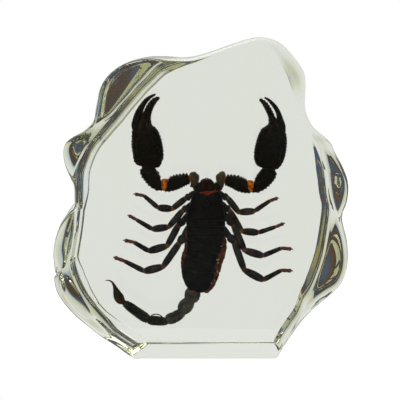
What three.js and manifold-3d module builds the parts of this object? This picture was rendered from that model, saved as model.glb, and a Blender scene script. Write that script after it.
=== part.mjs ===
// Scorpion sealed in a clear resin block with a wavy polished rim. Sizes in mm, +Z up.
// The block stands on its flat base, its large face toward -Y; the animal's back faces that way too.
import * as THREE from "three";
import { mergeVertices } from "three/addons/utils/BufferGeometryUtils.js";
import Module from "manifold-3d";

const wasm = await Module();
wasm.setup();

const THICKNESS = 34;
const EDGE_ROUND = 1.8; // of the long edges round both faces; the base keeps its sharp ones
const WALL_CROWN = 1.1; // how far the side wall bows out at mid-thickness
const WALL_STEPS = 2; // bands of the side wall from a rounded edge to the parting plane
const RIM_STEPS = 2; // straight pieces between two points of the rim
const PARTING_GAP = 0.3;
const POCKET_GAP = 0.4;

// The rim, from the base's left end up, over the top and down to its right end. Each point is
// [x, z] on the front face, then [x, z] of the point behind it on the smaller back face.
const RIM = [
  [-32.5, 0, -27.5, 0],
  [-36, 2.5, -31, 3],
  [-40.5, 6, -36, 6.5],
  [-45.5, 9.5, -40.5, 10],
  [-49.5, 12.5, -44, 14],
  [-54, 16.5, -48, 18.5],
  [-59, 21, -51.5, 23],
  [-64, 27, -55, 28.5],
  [-67.5, 33, -57.5, 34],
  [-68.8, 39.5, -59, 39],
  [-67.9, 42, -59.5, 42],
  [-68.4, 45, -59.3, 45],
  [-68.7, 52.5, -58, 52],
  [-67.3, 60, -56.8, 59],
  [-64.8, 66.5, -56, 65],
  [-61.5, 71.5, -55.3, 70],
  [-58.7, 75, -55.1, 74],
  [-58.1, 80, -54.9, 79],
  [-58.3, 85, -54.7, 84],
  [-59.8, 89, -54, 88.5],
  [-61.3, 96, -51.5, 95],
  [-60.9, 102.5, -48.5, 100],
  [-57.8, 106.5, -45, 104],
  [-52, 110.5, -41.5, 108],
  [-47.8, 115, -37.5, 112.5],
  [-45.4, 121.5, -34, 117.5],
  [-42.8, 129, -30, 122.5],
  [-38.6, 134.5, -26.5, 126.5],
  [-32, 139, -22, 130.5],
  [-23.5, 141.8, -17, 134.5],
  [-13.3, 142.5, -10, 137.5],
  [-4.4, 142.8, -2.5, 139.3],
  [4.4, 145.2, 5, 141.5],
  [13.2, 148.3, 13, 144.5],
  [22, 151, 21, 147.2],
  [26, 151.5, 25.5, 148],
  [30.5, 151, 29.5, 146.5],
  [35, 149.3, 33, 143],
  [40, 145, 36, 138],
  [46, 137, 39, 132.5],
  [47.2, 130.5, 41, 127],
  [47.2, 121, 44, 120],
  [48.8, 116, 46.3, 115],
  [52, 111, 49, 110],
  [59, 105, 52.5, 104.5],
  [61.7, 100, 55.5, 99.5],
  [66, 92, 58.3, 91],
  [67.8, 85, 60, 84],
  [67.6, 77.5, 61, 76.5],
  [66.2, 71.5, 61, 71],
  [66.2, 67.5, 60.8, 67],
  [68.7, 57.5, 59.5, 57],
  [69.1, 47, 58, 47],
  [66.7, 38, 55.5, 38],
  [61.8, 32, 52.5, 31.5],
  [56.3, 27, 49.5, 26],
  [49.8, 20, 46, 19],
  [45.3, 13.5, 42.3, 13],
  [41.5, 7.5, 39, 7.5],
  [37, 0, 35.5, 0],
];

// Runs of sections along the animal: [x, z, half width, half depth, y].
const BODY = [
  [3, 81, 4.4, 2.4, -0.3],
  [3, 79, 6.2, 3.3, -0.3],
  [2.9, 75, 7.8, 4, -0.2],
  [2.8, 70, 9.1, 4.4, 0],
  [2.7, 67.2, 9.5, 4.4, 0],
  [2.7, 66.6, 9.2, 4.1, 0],
  [2.7, 65.6, 9.7, 4.5, 0],
  [2.7, 63.6, 9.7, 4.5, 0],
  [2.7, 63, 9.4, 4.2, 0],
  [2.7, 61.8, 9.9, 4.7, 0],
  [2.7, 58.8, 9.9, 4.7, 0],
  [2.7, 58.2, 9.6, 4.4, 0],
  [2.6, 56.6, 10, 4.8, 0],
  [2.5, 53.2, 10, 4.8, 0],
  [2.3, 52.6, 9.7, 4.4, 0],
  [2.1, 50.8, 10.1, 4.8, 0],
  [1.5, 46.8, 10, 4.7, 0],
  [1.3, 46.2, 9.6, 4.3, 0],
  [0.9, 44.4, 9.9, 4.7, 0],
  [0.4, 40.2, 9.3, 4.5, 0],
  [0.3, 39.6, 8.9, 4.1, 0],
  [0.1, 37.8, 8.7, 4.3, 0],
  [-0.8, 34.2, 7, 3.8, 0],
  [-2, 32, 4.9, 3.2, 0.1],
  [-2.9, 30.4, 3.1, 2.6, 0.2],
];
const TAIL = [
  [-2.8, 31.8, 2.7, 2.3, 0.2],
  [-3.3, 30.2, 3.4, 2.8, 0.2],
  [-3.9, 27.6, 3.3, 2.8, 0.2],
  [-4.5, 26.1, 2.4, 2.1, 0.2],
  [-5.4, 25, 3.1, 2.7, 0.2],
  [-7.5, 21.8, 3.1, 2.7, 0.2],
  [-8.8, 20.2, 2.1, 2, 0.2],
  [-10.2, 18.7, 2.6, 2.6, 0.2],
  [-13.8, 16.3, 2.6, 2.6, 0.2],
  [-16, 15.5, 1.8, 1.9, 0.2],
  [-18, 15.3, 2.1, 2.5, 0.2],
  [-22.6, 15.3, 2.2, 2.5, 0.2],
  [-25, 15.7, 1.6, 1.9, 0.2],
  [-27, 17, 2.1, 2.3, 0.2],
  [-33, 21.6, 1.9, 2.2, 0.2],
  [-36.2, 24.3, 1.2, 1.5, 0.2],
  [-37.4, 25.8, 1.8, 2, 0.2],
  [-39, 28.8, 2.2, 2.4, 0.2],
  [-40.4, 31.8, 1.8, 2, 0.2],
  [-41.6, 34.2, 1.1, 1.2, 0.2],
  [-43, 35.8, 0.65, 0.7, 0.2],
  [-44.6, 36.1, 0.35, 0.4, 0.2],
  [-45.8, 35.8, 0.15, 0.2, 0.2],
];
const CHELICERA = [
  [0, 78.5, 1.6, 2, 0],
  [0, 81.5, 1.9, 2.3, 0],
  [0, 84, 1.6, 1.9, 0.1],
  [0, 85.7, 0.7, 1, 0.2],
];
const CHELICERA_X = [1.3, 4.8];
const COMB = [
  [0, 0, 0.9, 0.5, 4.4],
  [2.2, -1.8, 1.3, 0.6, 4.6],
  [5.2, -4.6, 1.3, 0.6, 4.5],
  [6.8, -6.4, 0.6, 0.4, 4.2],
];
const COMB_ROOT = [2.7, 67];

// Arms from the body through the hand to the tip of the fixed inner finger, and the outer fingers.
const LEFT_ARM = [
  [1.6, 80.6, 2.6, 2.4, 0.2],
  [-1, 83, 3.3, 2.9, 0],
  [-3.4, 84.8, 3.3, 2.9, 0],
  [-5.6, 85.5, 2.1, 2, 0],
  [-7.4, 85.2, 2.8, 2.6, -0.2],
  [-11, 84.3, 3.5, 3, -0.4],
  [-14.8, 83.3, 3.1, 2.9, -0.4],
  [-17, 82.8, 1.9, 2, -0.4],
  [-18.8, 83.2, 2.6, 2.8, -0.4],
  [-20.8, 84.5, 3.5, 3.4, -0.4],
  [-22.8, 86.6, 4, 3.6, -0.4],
  [-24.3, 89.2, 4.3, 3.4, -0.4],
  [-25.1, 91.3, 3.1, 2.4, -0.3],
  [-24.9, 93.3, 5.2, 3.5, -0.3],
  [-24.2, 96, 6.9, 4.4, -0.3],
  [-24.5, 100.5, 7.3, 4.8, -0.3],
  [-25.2, 105, 6.7, 4.7, -0.3],
  [-25.9, 109.5, 5.6, 4.1, -0.3],
  [-26.3, 112.8, 4.1, 3.3, -0.3],
  [-25.1, 115.4, 2.4, 2.5, -0.3],
  [-24.2, 117.3, 1.45, 2, -0.3],
  [-23.1, 119.6, 1.45, 1.8, -0.3],
  [-21.6, 121.6, 1.2, 1.4, -0.3],
  [-20, 123.1, 0.75, 0.9, -0.3],
  [-18.5, 123.9, 0.25, 0.4, -0.3],
];
const LEFT_FINGER = [
  [-28.5, 109, 2, 2.2, -0.3],
  [-28.5, 112, 2.5, 2.8, -0.3],
  [-28.1, 114.6, 1.8, 2.3, -0.3],
  [-27.4, 117.3, 1.25, 1.9, -0.3],
  [-26.3, 119.8, 1.1, 1.6, -0.3],
  [-24.6, 122.3, 0.9, 1.3, -0.3],
  [-22.6, 124.2, 0.6, 0.9, -0.3],
  [-20.3, 125.4, 0.25, 0.4, -0.3],
];
const RIGHT_ARM = [
  [5, 80.6, 2.6, 2.4, 0.2],
  [8, 82.8, 3.3, 2.9, 0],
  [10.6, 85, 3.3, 2.9, 0],
  [12.7, 85.3, 2.1, 2, 0],
  [14.4, 84.7, 2.7, 2.6, -0.2],
  [18.2, 83.6, 3.6, 3, -0.4],
  [22.2, 82.4, 3.1, 2.9, -0.4],
  [24.4, 81.9, 1.9, 2, -0.4],
  [26, 82.1, 2.6, 2.8, -0.4],
  [28.2, 83.5, 3.5, 3.4, -0.4],
  [30.2, 85.7, 4, 3.6, -0.4],
  [32, 88.2, 4.2, 3.4, -0.4],
  [33, 90.4, 3.1, 2.4, -0.3],
  [32.8, 92.5, 5.2, 3.5, -0.3],
  [32.6, 95.4, 7, 4.4, -0.3],
  [32.9, 100, 7.5, 4.8, -0.3],
  [33.5, 104.3, 6.9, 4.7, -0.3],
  [34.5, 108.2, 5.5, 4.1, -0.3],
  [34.8, 111, 4, 3.3, -0.3],
  [33.7, 113.2, 2.3, 2.5, -0.3],
  [32.6, 115.2, 1.6, 2, -0.3],
  [31.4, 118.2, 1.5, 1.8, -0.3],
  [30.1, 120.5, 1.2, 1.4, -0.3],
  [28.8, 122, 0.75, 0.9, -0.3],
  [27.5, 123, 0.25, 0.4, -0.3],
];
const RIGHT_FINGER = [
  [37.1, 107, 2, 2.2, -0.3],
  [37.2, 110, 2.5, 2.8, -0.3],
  [36.7, 113, 1.9, 2.3, -0.3],
  [35.7, 116.2, 1.35, 1.9, -0.3],
  [34.4, 118.9, 1.15, 1.6, -0.3],
  [32.8, 121.2, 0.9, 1.3, -0.3],
  [31.2, 122.8, 0.6, 0.9, -0.3],
  [29.3, 123.8, 0.25, 0.4, -0.3],
];

// Legs: [x, z] of the claw tip, the top of the foot, the knee, the hip joint, the ring and the body.
const LEGS = [
  [[-30.7, 78.5], [-26.3, 77.7], [-19.7, 71.9], [-12.9, 71.5], [-6.7, 76.6], [-2, 77.5]],
  [[-33.7, 68.1], [-30.1, 66.1], [-22.5, 61.5], [-14.7, 62.7], [-8, 70.6], [-2, 72.5]],
  [[-36, 55.8], [-31.5, 54.9], [-24.3, 50.6], [-15.5, 53.3], [-10, 63.6], [-3, 67.5]],
  [[-41, 47.4], [-36.2, 45.6], [-26.6, 40.6], [-17.6, 43], [-9.8, 54.6], [-3, 62]],
  [[36.6, 76.6], [33, 75.4], [25.7, 70.3], [18.2, 69.8], [13, 77], [8, 77.5]],
  [[39.7, 64.2], [35.8, 62.5], [27.6, 59.8], [19.8, 60.6], [13.6, 70.9], [8, 72.5]],
  [[43.8, 51.6], [38.8, 52.1], [30, 48.4], [21.2, 51.2], [15.6, 64], [9, 67.5]],
  [[44, 40.8], [39, 41.1], [30.4, 36.3], [21.2, 41.4], [16.2, 55.5], [9, 61]],
];
const LEG_Y = [0.2, 0.1, -0.4, -0.8, -0.2, 0.5];
const LEG_HALF_WIDTH = [0.65, 0.95, 1.65, 1.45, 1.5]; // foot, shin, knee piece, thigh, ring
const LEG_JOINT_HALF_WIDTH = [0.3, 0.6, 0.85, 1.15, 1.1, 1.7];
const LEG_FLATNESS = 0.85; // depth over width

// A closed solid through rings of equally many points; a ring turns to the left seen from the last one.
function loft(rings, outline) {
  const count = rings[0].length;
  const positions = rings.flat().flatMap((p) => [p.x, p.y, p.z]);
  const faces = [];
  for (let ring = 0; ring + 1 < rings.length; ring++) {
    for (let i = 0; i < count; i++) {
      const next = (i + 1) % count;
      const a = ring * count + i;
      const b = ring * count + next;
      faces.push(a, b, b + count, a, b + count, a + count);
    }
  }
  const last = (rings.length - 1) * count;
  for (const [a, b, c] of THREE.ShapeUtils.triangulateShape(outline, [])) {
    faces.push(a, c, b, last + a, last + b, last + c);
  }
  const mesh = new wasm.Mesh({
    numProp: 3,
    vertProperties: new Float32Array(positions),
    triVerts: new Uint32Array(faces),
  });
  return new wasm.Manifold(mesh);
}

// A limb, body or tail: oval rings across the line through its sections. Grown, it goes outside the oval.
function limb(sections, sides, grow) {
  const reach = grow > 0 ? 1 / Math.cos(Math.PI / sides) : 1;
  const turn = [];
  for (let i = 0; i < sides; i++) {
    const angle = ((i + 0.5) / sides) * 2 * Math.PI;
    turn.push(new THREE.Vector2(Math.cos(angle), Math.sin(angle)));
  }
  const rings = sections.map((section, i) => {
    const [x, z, halfWidth, halfDepth, y] = section;
    const before = sections[Math.max(i - 1, 0)];
    const after = sections[Math.min(i + 1, sections.length - 1)];
    const along = new THREE.Vector2(after[0] - before[0], after[1] - before[1]).normalize();
    const end = i === 0 ? -grow : i === sections.length - 1 ? grow : 0;
    return turn.map((t) => {
      const across = t.x * (halfWidth + grow) * reach;
      const deep = t.y * (halfDepth + grow) * reach;
      return new THREE.Vector3(
        x + along.y * across + along.x * end,
        y + deep,
        z - along.x * across + along.y * end,
      );
    });
  });
  return loft(rings, turn);
}

// A leg's sections: narrow at the joints, full in between.
function legSections(joints) {
  const sections = [];
  joints.forEach(([x, z], i) => {
    const joint = LEG_JOINT_HALF_WIDTH[i];
    sections.push([x, z, joint, LEG_FLATNESS * joint, LEG_Y[i]]);
    if (i === joints.length - 1) {
      return;
    }
    const [nextX, nextZ] = joints[i + 1];
    const wide = LEG_HALF_WIDTH[i];
    for (const share of [0.3, 0.8]) {
      const y = LEG_Y[i] + (LEG_Y[i + 1] - LEG_Y[i]) * share;
      sections.push([x + (nextX - x) * share, z + (nextZ - z) * share, wide, LEG_FLATNESS * wide, y]);
    }
  });
  return sections;
}

// The room round a leg, a plain tube from joint to joint.
function legRoomSections(joints) {
  return joints.map(([x, z], i) => {
    const before = LEG_HALF_WIDTH[Math.max(i - 1, 0)];
    const after = LEG_HALF_WIDTH[Math.min(i, LEG_HALF_WIDTH.length - 1)];
    const wide = Math.max(before, after);
    return [x, z, wide, LEG_FLATNESS * wide, LEG_Y[i]];
  });
}

function chelicera(x) {
  return CHELICERA.map((section) => [x + section[0], ...section.slice(1)]);
}

// One of the pair of comb-shaped organs on the underside.
function comb(side) {
  return COMB.map(([x, z, w, d, y]) => [COMB_ROOT[0] + side * x, COMB_ROOT[1] + z, w, d, y]);
}

// Every run of the animal with its number of sides.
function scorpionRuns(legRun, bodySides, armSides, legSides) {
  const runs = [
    [BODY, bodySides],
    [TAIL, armSides],
    [LEFT_ARM, armSides],
    [LEFT_FINGER, armSides],
    [RIGHT_ARM, armSides],
    [RIGHT_FINGER, armSides],
    [comb(-1), legSides],
    [comb(1), legSides],
  ];
  for (const x of CHELICERA_X) {
    runs.push([chelicera(x), legSides]);
  }
  for (const joints of LEGS) {
    runs.push([legRun(joints), legSides]);
  }
  return runs;
}

function unite(runs, grow) {
  const solids = runs.map(([sections, sides]) => limb(sections, sides, grow));
  return solids.reduce((a, b) => a.add(b));
}

// The rim's points at one depth, share 0 at the front face and 1 at the back, drawn in by inset.
function rimRing(share, inset, y) {
  const faces = [0, 2].map((k) => {
    const spline = new THREE.SplineCurve(RIM.map((row) => new THREE.Vector2(row[k], row[k + 1])));
    return spline.getPoints((RIM.length - 1) * RIM_STEPS);
  });
  const line = faces[0].map((p, i) => p.clone().lerp(faces[1][i], share));
  const out = WALL_CROWN * Math.sin(Math.PI * share) - inset;
  return line.map((p, i) => {
    const onBase = i === 0 || i === line.length - 1;
    const before = line[Math.max(i - 1, 0)];
    const after = line[Math.min(i + 1, line.length - 1)];
    const along = after.clone().sub(before).normalize();
    const outward = onBase ? new THREE.Vector2(Math.sign(p.x), 0) : new THREE.Vector2(-along.y, along.x);
    const moved = p.clone().addScaledVector(outward, out);
    return new THREE.Vector3(moved.x, y, onBase ? 0 : Math.max(moved.y, 0.2));
  });
}

// Half of the block, side -1 for the front and 1 for the back, from its face to the parting plane.
function blockHalf(side) {
  const face = THICKNESS / 2;
  const wall = face - EDGE_ROUND;
  const shareAt = (y) => Math.min(Math.max(0.5 + y / (2 * wall), 0), 1);
  const levels = [
    [face, EDGE_ROUND],
    [face - 0.3 * EDGE_ROUND, 0.3 * EDGE_ROUND],
  ];
  for (let step = 0; step <= WALL_STEPS; step++) {
    levels.push([wall + ((PARTING_GAP / 2 - wall) * step) / WALL_STEPS, 0]);
  }
  const rings = levels.map(([depth, inset]) => rimRing(shareAt(side * depth), inset, side * depth));
  if (side > 0) {
    rings.reverse();
  }
  return loft(rings, rings[0].map((p) => new THREE.Vector2(p.z, p.x)));
}

function meshFrom(solid, name, material) {
  const made = solid.getMesh();
  const geometry = new THREE.BufferGeometry();
  geometry.setAttribute("position", new THREE.BufferAttribute(made.vertProperties, 3));
  geometry.setIndex(new THREE.BufferAttribute(made.triVerts, 1));
  const merged = mergeVertices(geometry, 1e-3);
  merged.computeVertexNormals();
  const mesh = new THREE.Mesh(merged, material);
  mesh.name = name;
  return mesh;
}

function resinMaterial() {
  return new THREE.MeshStandardMaterial({ color: 0xdde3d6, roughness: 0.05, metalness: 0 });
}

function cuticleMaterial() {
  return new THREE.MeshStandardMaterial({ color: 0x1d1b18, roughness: 0.45, metalness: 0 });
}

const animal = unite(scorpionRuns(legSections, 14, 8, 6), 0);
const pocket = unite(scorpionRuns(legRoomSections, 8, 6, 4), POCKET_GAP);
const root = new THREE.Group();
root.name = "scorpion_in_resin";
root.add(meshFrom(blockHalf(-1).subtract(pocket), "resin_front", resinMaterial()));
root.add(meshFrom(blockHalf(1).subtract(pocket), "resin_back", resinMaterial()));
root.add(meshFrom(animal, "scorpion", cuticleMaterial()));

export default root;
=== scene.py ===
"""A dried scorpion sealed in a clear resin block: finishes, fine surface, floor, light and camera.

Lengths are in millimetres in this file and in metres in the scene. The block stands on z = 0 with
its large face toward -Y, and the animal's back is turned to that face.
"""

from __future__ import annotations

import logging
import math
from dataclasses import dataclass, field, replace
from enum import Enum
from typing import Callable, Sequence

import bpy
import numpy as np
from mathutils import Matrix, Vector

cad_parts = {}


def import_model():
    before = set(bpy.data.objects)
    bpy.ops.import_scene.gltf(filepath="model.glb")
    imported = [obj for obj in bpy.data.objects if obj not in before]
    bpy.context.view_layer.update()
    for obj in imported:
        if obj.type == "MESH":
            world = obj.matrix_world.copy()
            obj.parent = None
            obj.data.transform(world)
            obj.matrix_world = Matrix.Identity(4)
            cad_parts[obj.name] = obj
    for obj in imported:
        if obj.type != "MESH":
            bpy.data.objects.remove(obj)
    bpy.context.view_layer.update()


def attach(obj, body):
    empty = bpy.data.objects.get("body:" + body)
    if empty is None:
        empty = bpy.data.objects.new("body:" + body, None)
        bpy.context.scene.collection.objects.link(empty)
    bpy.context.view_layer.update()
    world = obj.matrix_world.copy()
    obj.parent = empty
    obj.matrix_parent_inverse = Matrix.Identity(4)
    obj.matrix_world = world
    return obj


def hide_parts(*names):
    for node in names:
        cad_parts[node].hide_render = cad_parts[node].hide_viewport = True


LOG = logging.getLogger("scorpion")
MM = 0.001
# Angle of the animal's back on a section; 0 and pi are the section's two edges.
BACK = -math.pi / 2
Row = Sequence[float]
Colour = tuple[float, float, float]
Relief = Callable[[np.ndarray, np.ndarray], np.ndarray]
Mask = Relief | float


class Slot(Enum):
    """Material slots of the record."""

    RESIN = "resin"
    CUTICLE = "cuticle"


class Side(Enum):
    """Side of the picture that a limb lies on; the value is the sign of x."""

    LEFT = -1
    RIGHT = 1


# ---------------------------------------------------------------- surfaces


def hermite(knots: np.ndarray, values: np.ndarray, spots: np.ndarray) -> np.ndarray:
    """Smooth curve through rows of values.

    Each stretch between two knots is the cubic with the knots' values and their mean slopes.

    Args:
        knots: Rising positions of the rows, shape (k,).
        values: Rows, shape (k, c).
        spots: Positions to read, shape (n,).

    Returns:
        Values at the spots, shape (n, c).
    """
    slopes = np.gradient(values, knots, axis=0)
    i = np.clip(np.searchsorted(knots, spots, side="right") - 1, 0, len(knots) - 2)
    gap = (knots[i + 1] - knots[i])[:, None]
    t = (spots - knots[i])[:, None] / gap
    rise = values[i] * (2 * t**3 - 3 * t**2 + 1) + values[i + 1] * (3 * t**2 - 2 * t**3)
    lean = slopes[i] * (t**3 - 2 * t**2 + t) + slopes[i + 1] * (t**3 - t**2)
    return rise + lean * gap


def bell(offset: np.ndarray, width: float) -> np.ndarray:
    """Bell curve: e to the minus square of offset over width."""
    return np.exp(-((offset / width) ** 2))


def turn_gap(angle: np.ndarray, centre: float) -> np.ndarray:
    """Shortest signed turn from centre to angle, both in radians."""
    return (angle - centre + math.pi) % (2 * math.pi) - math.pi


@dataclass(frozen=True)
class Pebbles:
    """Scattered round grains on a grid of cells, one grain near the middle of each cell.

    Height is h (1 - d^2 / r^2), cut off at zero, where d is the distance to the nearest grain's
    centre in cells, and h and the centre are random for each cell.

    Attributes:
        pitch: Size of a cell in mm.
        height: Greatest height in mm.
        seed: Seed of the grains' places and heights.
        radius: Radius of a grain, in cells.
    """

    pitch: float
    height: float
    seed: int
    radius: float = 0.52

    # Cells each way before the random draws repeat.
    TABLE = 96

    def __call__(self, along: np.ndarray, angle: np.ndarray, girth: float) -> np.ndarray:
        """Grain height.

        Args:
            along: Distance along the form in mm, shape (n, 1).
            angle: Angle round the form in radians, shape (1, m).
            girth: Mean distance round the form in mm.

        Returns:
            Heights in mm, shape (n, m).
        """
        cells = max(3, round(girth / self.pitch))
        table = np.random.default_rng(self.seed).random((self.TABLE, self.TABLE, 3))
        u = along / self.pitch
        v = (angle % (2 * math.pi)) / (2 * math.pi) * cells
        best = np.zeros(np.broadcast(u, v).shape)
        for du in (-1, 0, 1):
            for dv in (-1, 0, 1):
                iu = np.floor(u).astype(int) + du
                iv = np.floor(v).astype(int) + dv
                draw = table[iu % self.TABLE, (iv % cells) % self.TABLE]
                far = (u - iu - 0.2 - 0.6 * draw[..., 0]) ** 2
                far = far + (v - iv - 0.2 - 0.6 * draw[..., 1]) ** 2
                grain = (0.45 + 0.55 * draw[..., 2]) * (1 - far / self.radius**2)
                best = np.maximum(best, grain)
        return self.height * best

    def cover(self, girth: float) -> Relief:
        """Relief of these grains alone.

        Args:
            girth: Mean distance round the form in mm.

        Returns:
            Height in mm, from distance along and angle round.
        """

        def relief(along: np.ndarray, angle: np.ndarray) -> np.ndarray:
            """Grain height at distances along and angles round."""
            return self(along, angle, girth)

        return relief


@dataclass(frozen=True)
class Keel:
    """A ridge that runs along a form at one angle, with a row of teeth on it.

    Height is a bell across the ridge times a row of pointed teeth along it, 1 - n + n |sin|^1.5
    with the notch share n.

    Attributes:
        angle: Angle round the form, in radians.
        width: Width of the bell, in radians.
        height: Height of the teeth in mm.
        pitch: Distance from tooth to tooth in mm.
        notch: Share of the height that is lost between two teeth.
    """

    angle: float
    width: float
    height: float
    pitch: float = 1.1
    notch: float = 0.6

    def __call__(self, along: np.ndarray, angle: np.ndarray) -> np.ndarray:
        """Ridge height in mm at distances along and angles round the form."""
        across = bell(turn_gap(angle, self.angle), self.width)
        teeth = 1 - self.notch + self.notch * np.abs(np.sin(math.pi * along / self.pitch)) ** 1.5
        return self.height * across * teeth


@dataclass(frozen=True)
class Run:
    """A closed form carried along a path in the plane of the block.

    Attributes:
        rows: [x, z, half width, half depth, y] of its sections, in mm.
        around: Points round it.
        step: Distance between rings, in mm.
        caps: Lengths of its rounded ends, in mm.
        square: Power of the section; 2 is an oval and more is boxier.
        belly: Depth of the +Y half of the section over that of the -Y half.
        lean: How far the ends tip along the path at angle 0, in mm.
    """

    rows: Sequence[Row]
    around: int = 32
    step: float = 0.5
    caps: tuple[float, float] = (0.8, 0.8)
    square: float = 2.2
    belly: float = 1.0
    lean: tuple[float, float] = (0.0, 0.0)

    @property
    def knots(self) -> np.ndarray:
        """Distances of the rows along the path, in mm."""
        rows = np.asarray(self.rows, float)
        gaps = np.hypot(np.diff(rows[:, 0]), np.diff(rows[:, 1]))
        return np.concatenate([[0.0], np.cumsum(gaps)])

    def spots(self) -> np.ndarray:
        """Places of the rings: even, and closer together on the rounded ends.

        Returns:
            Their distances along the path in mm, rising.
        """
        length = self.knots[-1]
        start, end = self.caps
        bend = 1 - np.cos(np.linspace(0, math.pi / 2, 6)[1:])
        count = max(3, math.ceil((length - start - end) / self.step))
        middle = np.linspace(start, length - end, count + 1)[1:-1]
        return np.concatenate([start * bend, middle, (length - end * bend)[::-1]])


@dataclass
class Hide:
    """Points, faces and masks of one piece, gathered from closed forms.

    Attributes:
        points: Places in mm, one array for each form.
        quads: Faces of four, likewise.
        triangles: Faces of three, likewise.
        soft: 1 on joint skin and 0 on hard shell, for each point.
        rust: 1 on reddish shell and on painted glints, 0 on black, for each point.
        total: Number of points so far.
    """

    points: list[np.ndarray] = field(default_factory=list)
    quads: list[np.ndarray] = field(default_factory=list)
    triangles: list[np.ndarray] = field(default_factory=list)
    soft: list[np.ndarray] = field(default_factory=list)
    rust: list[np.ndarray] = field(default_factory=list)
    total: int = 0

    # Bristles: radius and sunk length of the root in mm, spread of direction and reddish share.
    HAIR_RADIUS = 0.06
    HAIR_SUNK = 0.15
    HAIR_SPREAD = 0.35
    HAIR_RUST = 0.55

    def add(
        self,
        points: np.ndarray,
        quads: np.ndarray,
        triangles: np.ndarray,
        soft: np.ndarray | float = 0.0,
        rust: np.ndarray | float = 0.0,
    ) -> None:
        """Adds one closed form.

        Args:
            points: Places in mm, shape (n, 3).
            quads: Faces of four, shape (a, 4).
            triangles: Faces of three, shape (b, 3).
            soft: Joint skin mask, one number or one for each point.
            rust: Mask of reddish shell and painted glints, one number or one for each point.
        """
        self.points.append(points)
        self.quads.append(quads + self.total)
        self.triangles.append(triangles + self.total)
        self.soft.append(np.broadcast_to(soft, len(points)))
        self.rust.append(np.broadcast_to(rust, len(points)))
        self.total += len(points)

    def carry(
        self,
        run: Run,
        relief: Relief | None = None,
        soft: Mask = 0.0,
        rust: Mask = 0.0,
        hairs: int = 0,
        hair_length: float = 1.2,
        seed: int = 1,
    ) -> None:
        """Adds a form carried along a path, with bristles if asked.

        A ring is centre + across (w |cos|^(2/p) + relief cos) + depth (d |sin|^(2/p) + relief sin),
        with the signs of cos and sin, where w and d shrink as a quarter circle over the caps.

        Args:
            run: Path and sections.
            relief: Height over the section in mm, from distance along and angle round.
            soft: Joint skin mask, a number or a function of share along and angle.
            rust: Mask of reddish shell and painted glints, likewise.
            hairs: Number of bristles.
            hair_length: Their mean length in mm.
            seed: Seed of the bristles' places.
        """
        knots = run.knots
        length = knots[-1]
        spots = run.spots()
        x, z, wide, deep, y = hermite(knots, np.asarray(run.rows, float), spots).T
        dx, dz = np.gradient(x, spots), np.gradient(z, spots)
        norm = np.hypot(dx, dz)
        dx, dz = dx / norm, dz / norm
        start = np.clip(spots / run.caps[0], 0, 1)
        end = np.clip((length - spots) / run.caps[1], 0, 1)
        close = np.sqrt(1 - (1 - start) ** 2) * np.sqrt(1 - (1 - end) ** 2)
        angle = 2 * math.pi * np.arange(run.around)[None, :] / run.around
        cos, sin = np.cos(angle), np.sin(angle)
        power = 2 / run.square
        side = np.sign(cos) * np.abs(cos) ** power
        front = np.sign(sin) * np.abs(sin) ** power
        front = np.where(front > 0, front * run.belly, front)
        along = spots[:, None]
        lift = relief(along, angle) if relief else np.zeros((len(spots), run.around))
        lift = lift * close[:, None] ** 0.5
        a = side * (wide * close)[:, None] + cos * lift
        b = front * (deep * close)[:, None] + sin * lift
        share = along / length
        tip = (run.lean[0] * (1 - share) ** 3 + run.lean[1] * share**3) * cos
        px = x[:, None] + dz[:, None] * a + dx[:, None] * tip
        pz = z[:, None] - dx[:, None] * a + dz[:, None] * tip
        py = y[:, None] + b
        ring = np.stack([px, py, pz], axis=-1).reshape(-1, 3)
        first, last = np.asarray(run.rows[0], float), np.asarray(run.rows[-1], float)
        poles = np.array([[first[0], first[4], first[1]], [last[0], last[4], last[1]]])
        points = np.concatenate([ring, poles])
        quads, triangles = tube_faces(len(spots), run.around)
        masks = []
        for mask in (soft, rust):
            worth = mask(share, angle) if callable(mask) else np.full((1, 1), float(mask))
            worth = np.broadcast_to(worth, (len(spots), run.around)).reshape(-1)
            masks.append(np.concatenate([worth, [worth[0], worth[-1]]]))
        self.add(points, quads, triangles, masks[0], masks[1])
        if hairs:
            middle = np.stack([x, y, z], axis=-1)
            out = ring.reshape(len(spots), run.around, 3) - middle[:, None, :]
            self.bristle(ring, out.reshape(-1, 3), hairs, hair_length, seed)

    def bristle(
        self, roots: np.ndarray, out: np.ndarray, count: int, length: float, seed: int
    ) -> None:
        """Adds thin bristles, each a long tetrahedron from a small triangle to a point.

        Args:
            roots: Places to choose from, in mm, shape (n, 3).
            out: Outward directions there.
            count: Number of bristles.
            length: Mean length in mm.
            seed: Seed of the choice.
        """
        draw = np.random.default_rng(seed)
        pick = draw.integers(0, len(roots), count)
        way = out[pick] / np.maximum(np.linalg.norm(out[pick], axis=1, keepdims=True), 1e-6)
        way = way + draw.normal(0, self.HAIR_SPREAD, (count, 3))
        way = way / np.linalg.norm(way, axis=1, keepdims=True)
        aside = np.cross(way, draw.normal(0, 1, (count, 3)))
        aside = aside / np.linalg.norm(aside, axis=1, keepdims=True)
        other = np.cross(way, aside)
        size = length * draw.uniform(0.5, 1.4, count)[:, None]
        foot = roots[pick] - self.HAIR_SUNK * way
        turns = ((1, 0), (-0.5, 0.87), (-0.5, -0.87))
        corners = [foot + self.HAIR_RADIUS * (c * aside + s * other) for c, s in turns]
        tips = foot + (size + self.HAIR_SUNK) * way
        points = np.stack([*corners, tips], axis=1).reshape(-1, 3)
        base = 4 * np.arange(count)[:, None, None]
        faces = np.array([[0, 2, 1], [0, 1, 3], [1, 2, 3], [2, 0, 3]])[None]
        triangles = (faces + base).reshape(-1, 3)
        self.add(points, np.zeros((0, 4), int), triangles, 0.0, self.HAIR_RUST)

    def warp(self, change: Callable[[np.ndarray], np.ndarray]) -> None:
        """Moves the points of the last form added by a function of their places."""
        self.points[-1] = change(self.points[-1])

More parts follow.
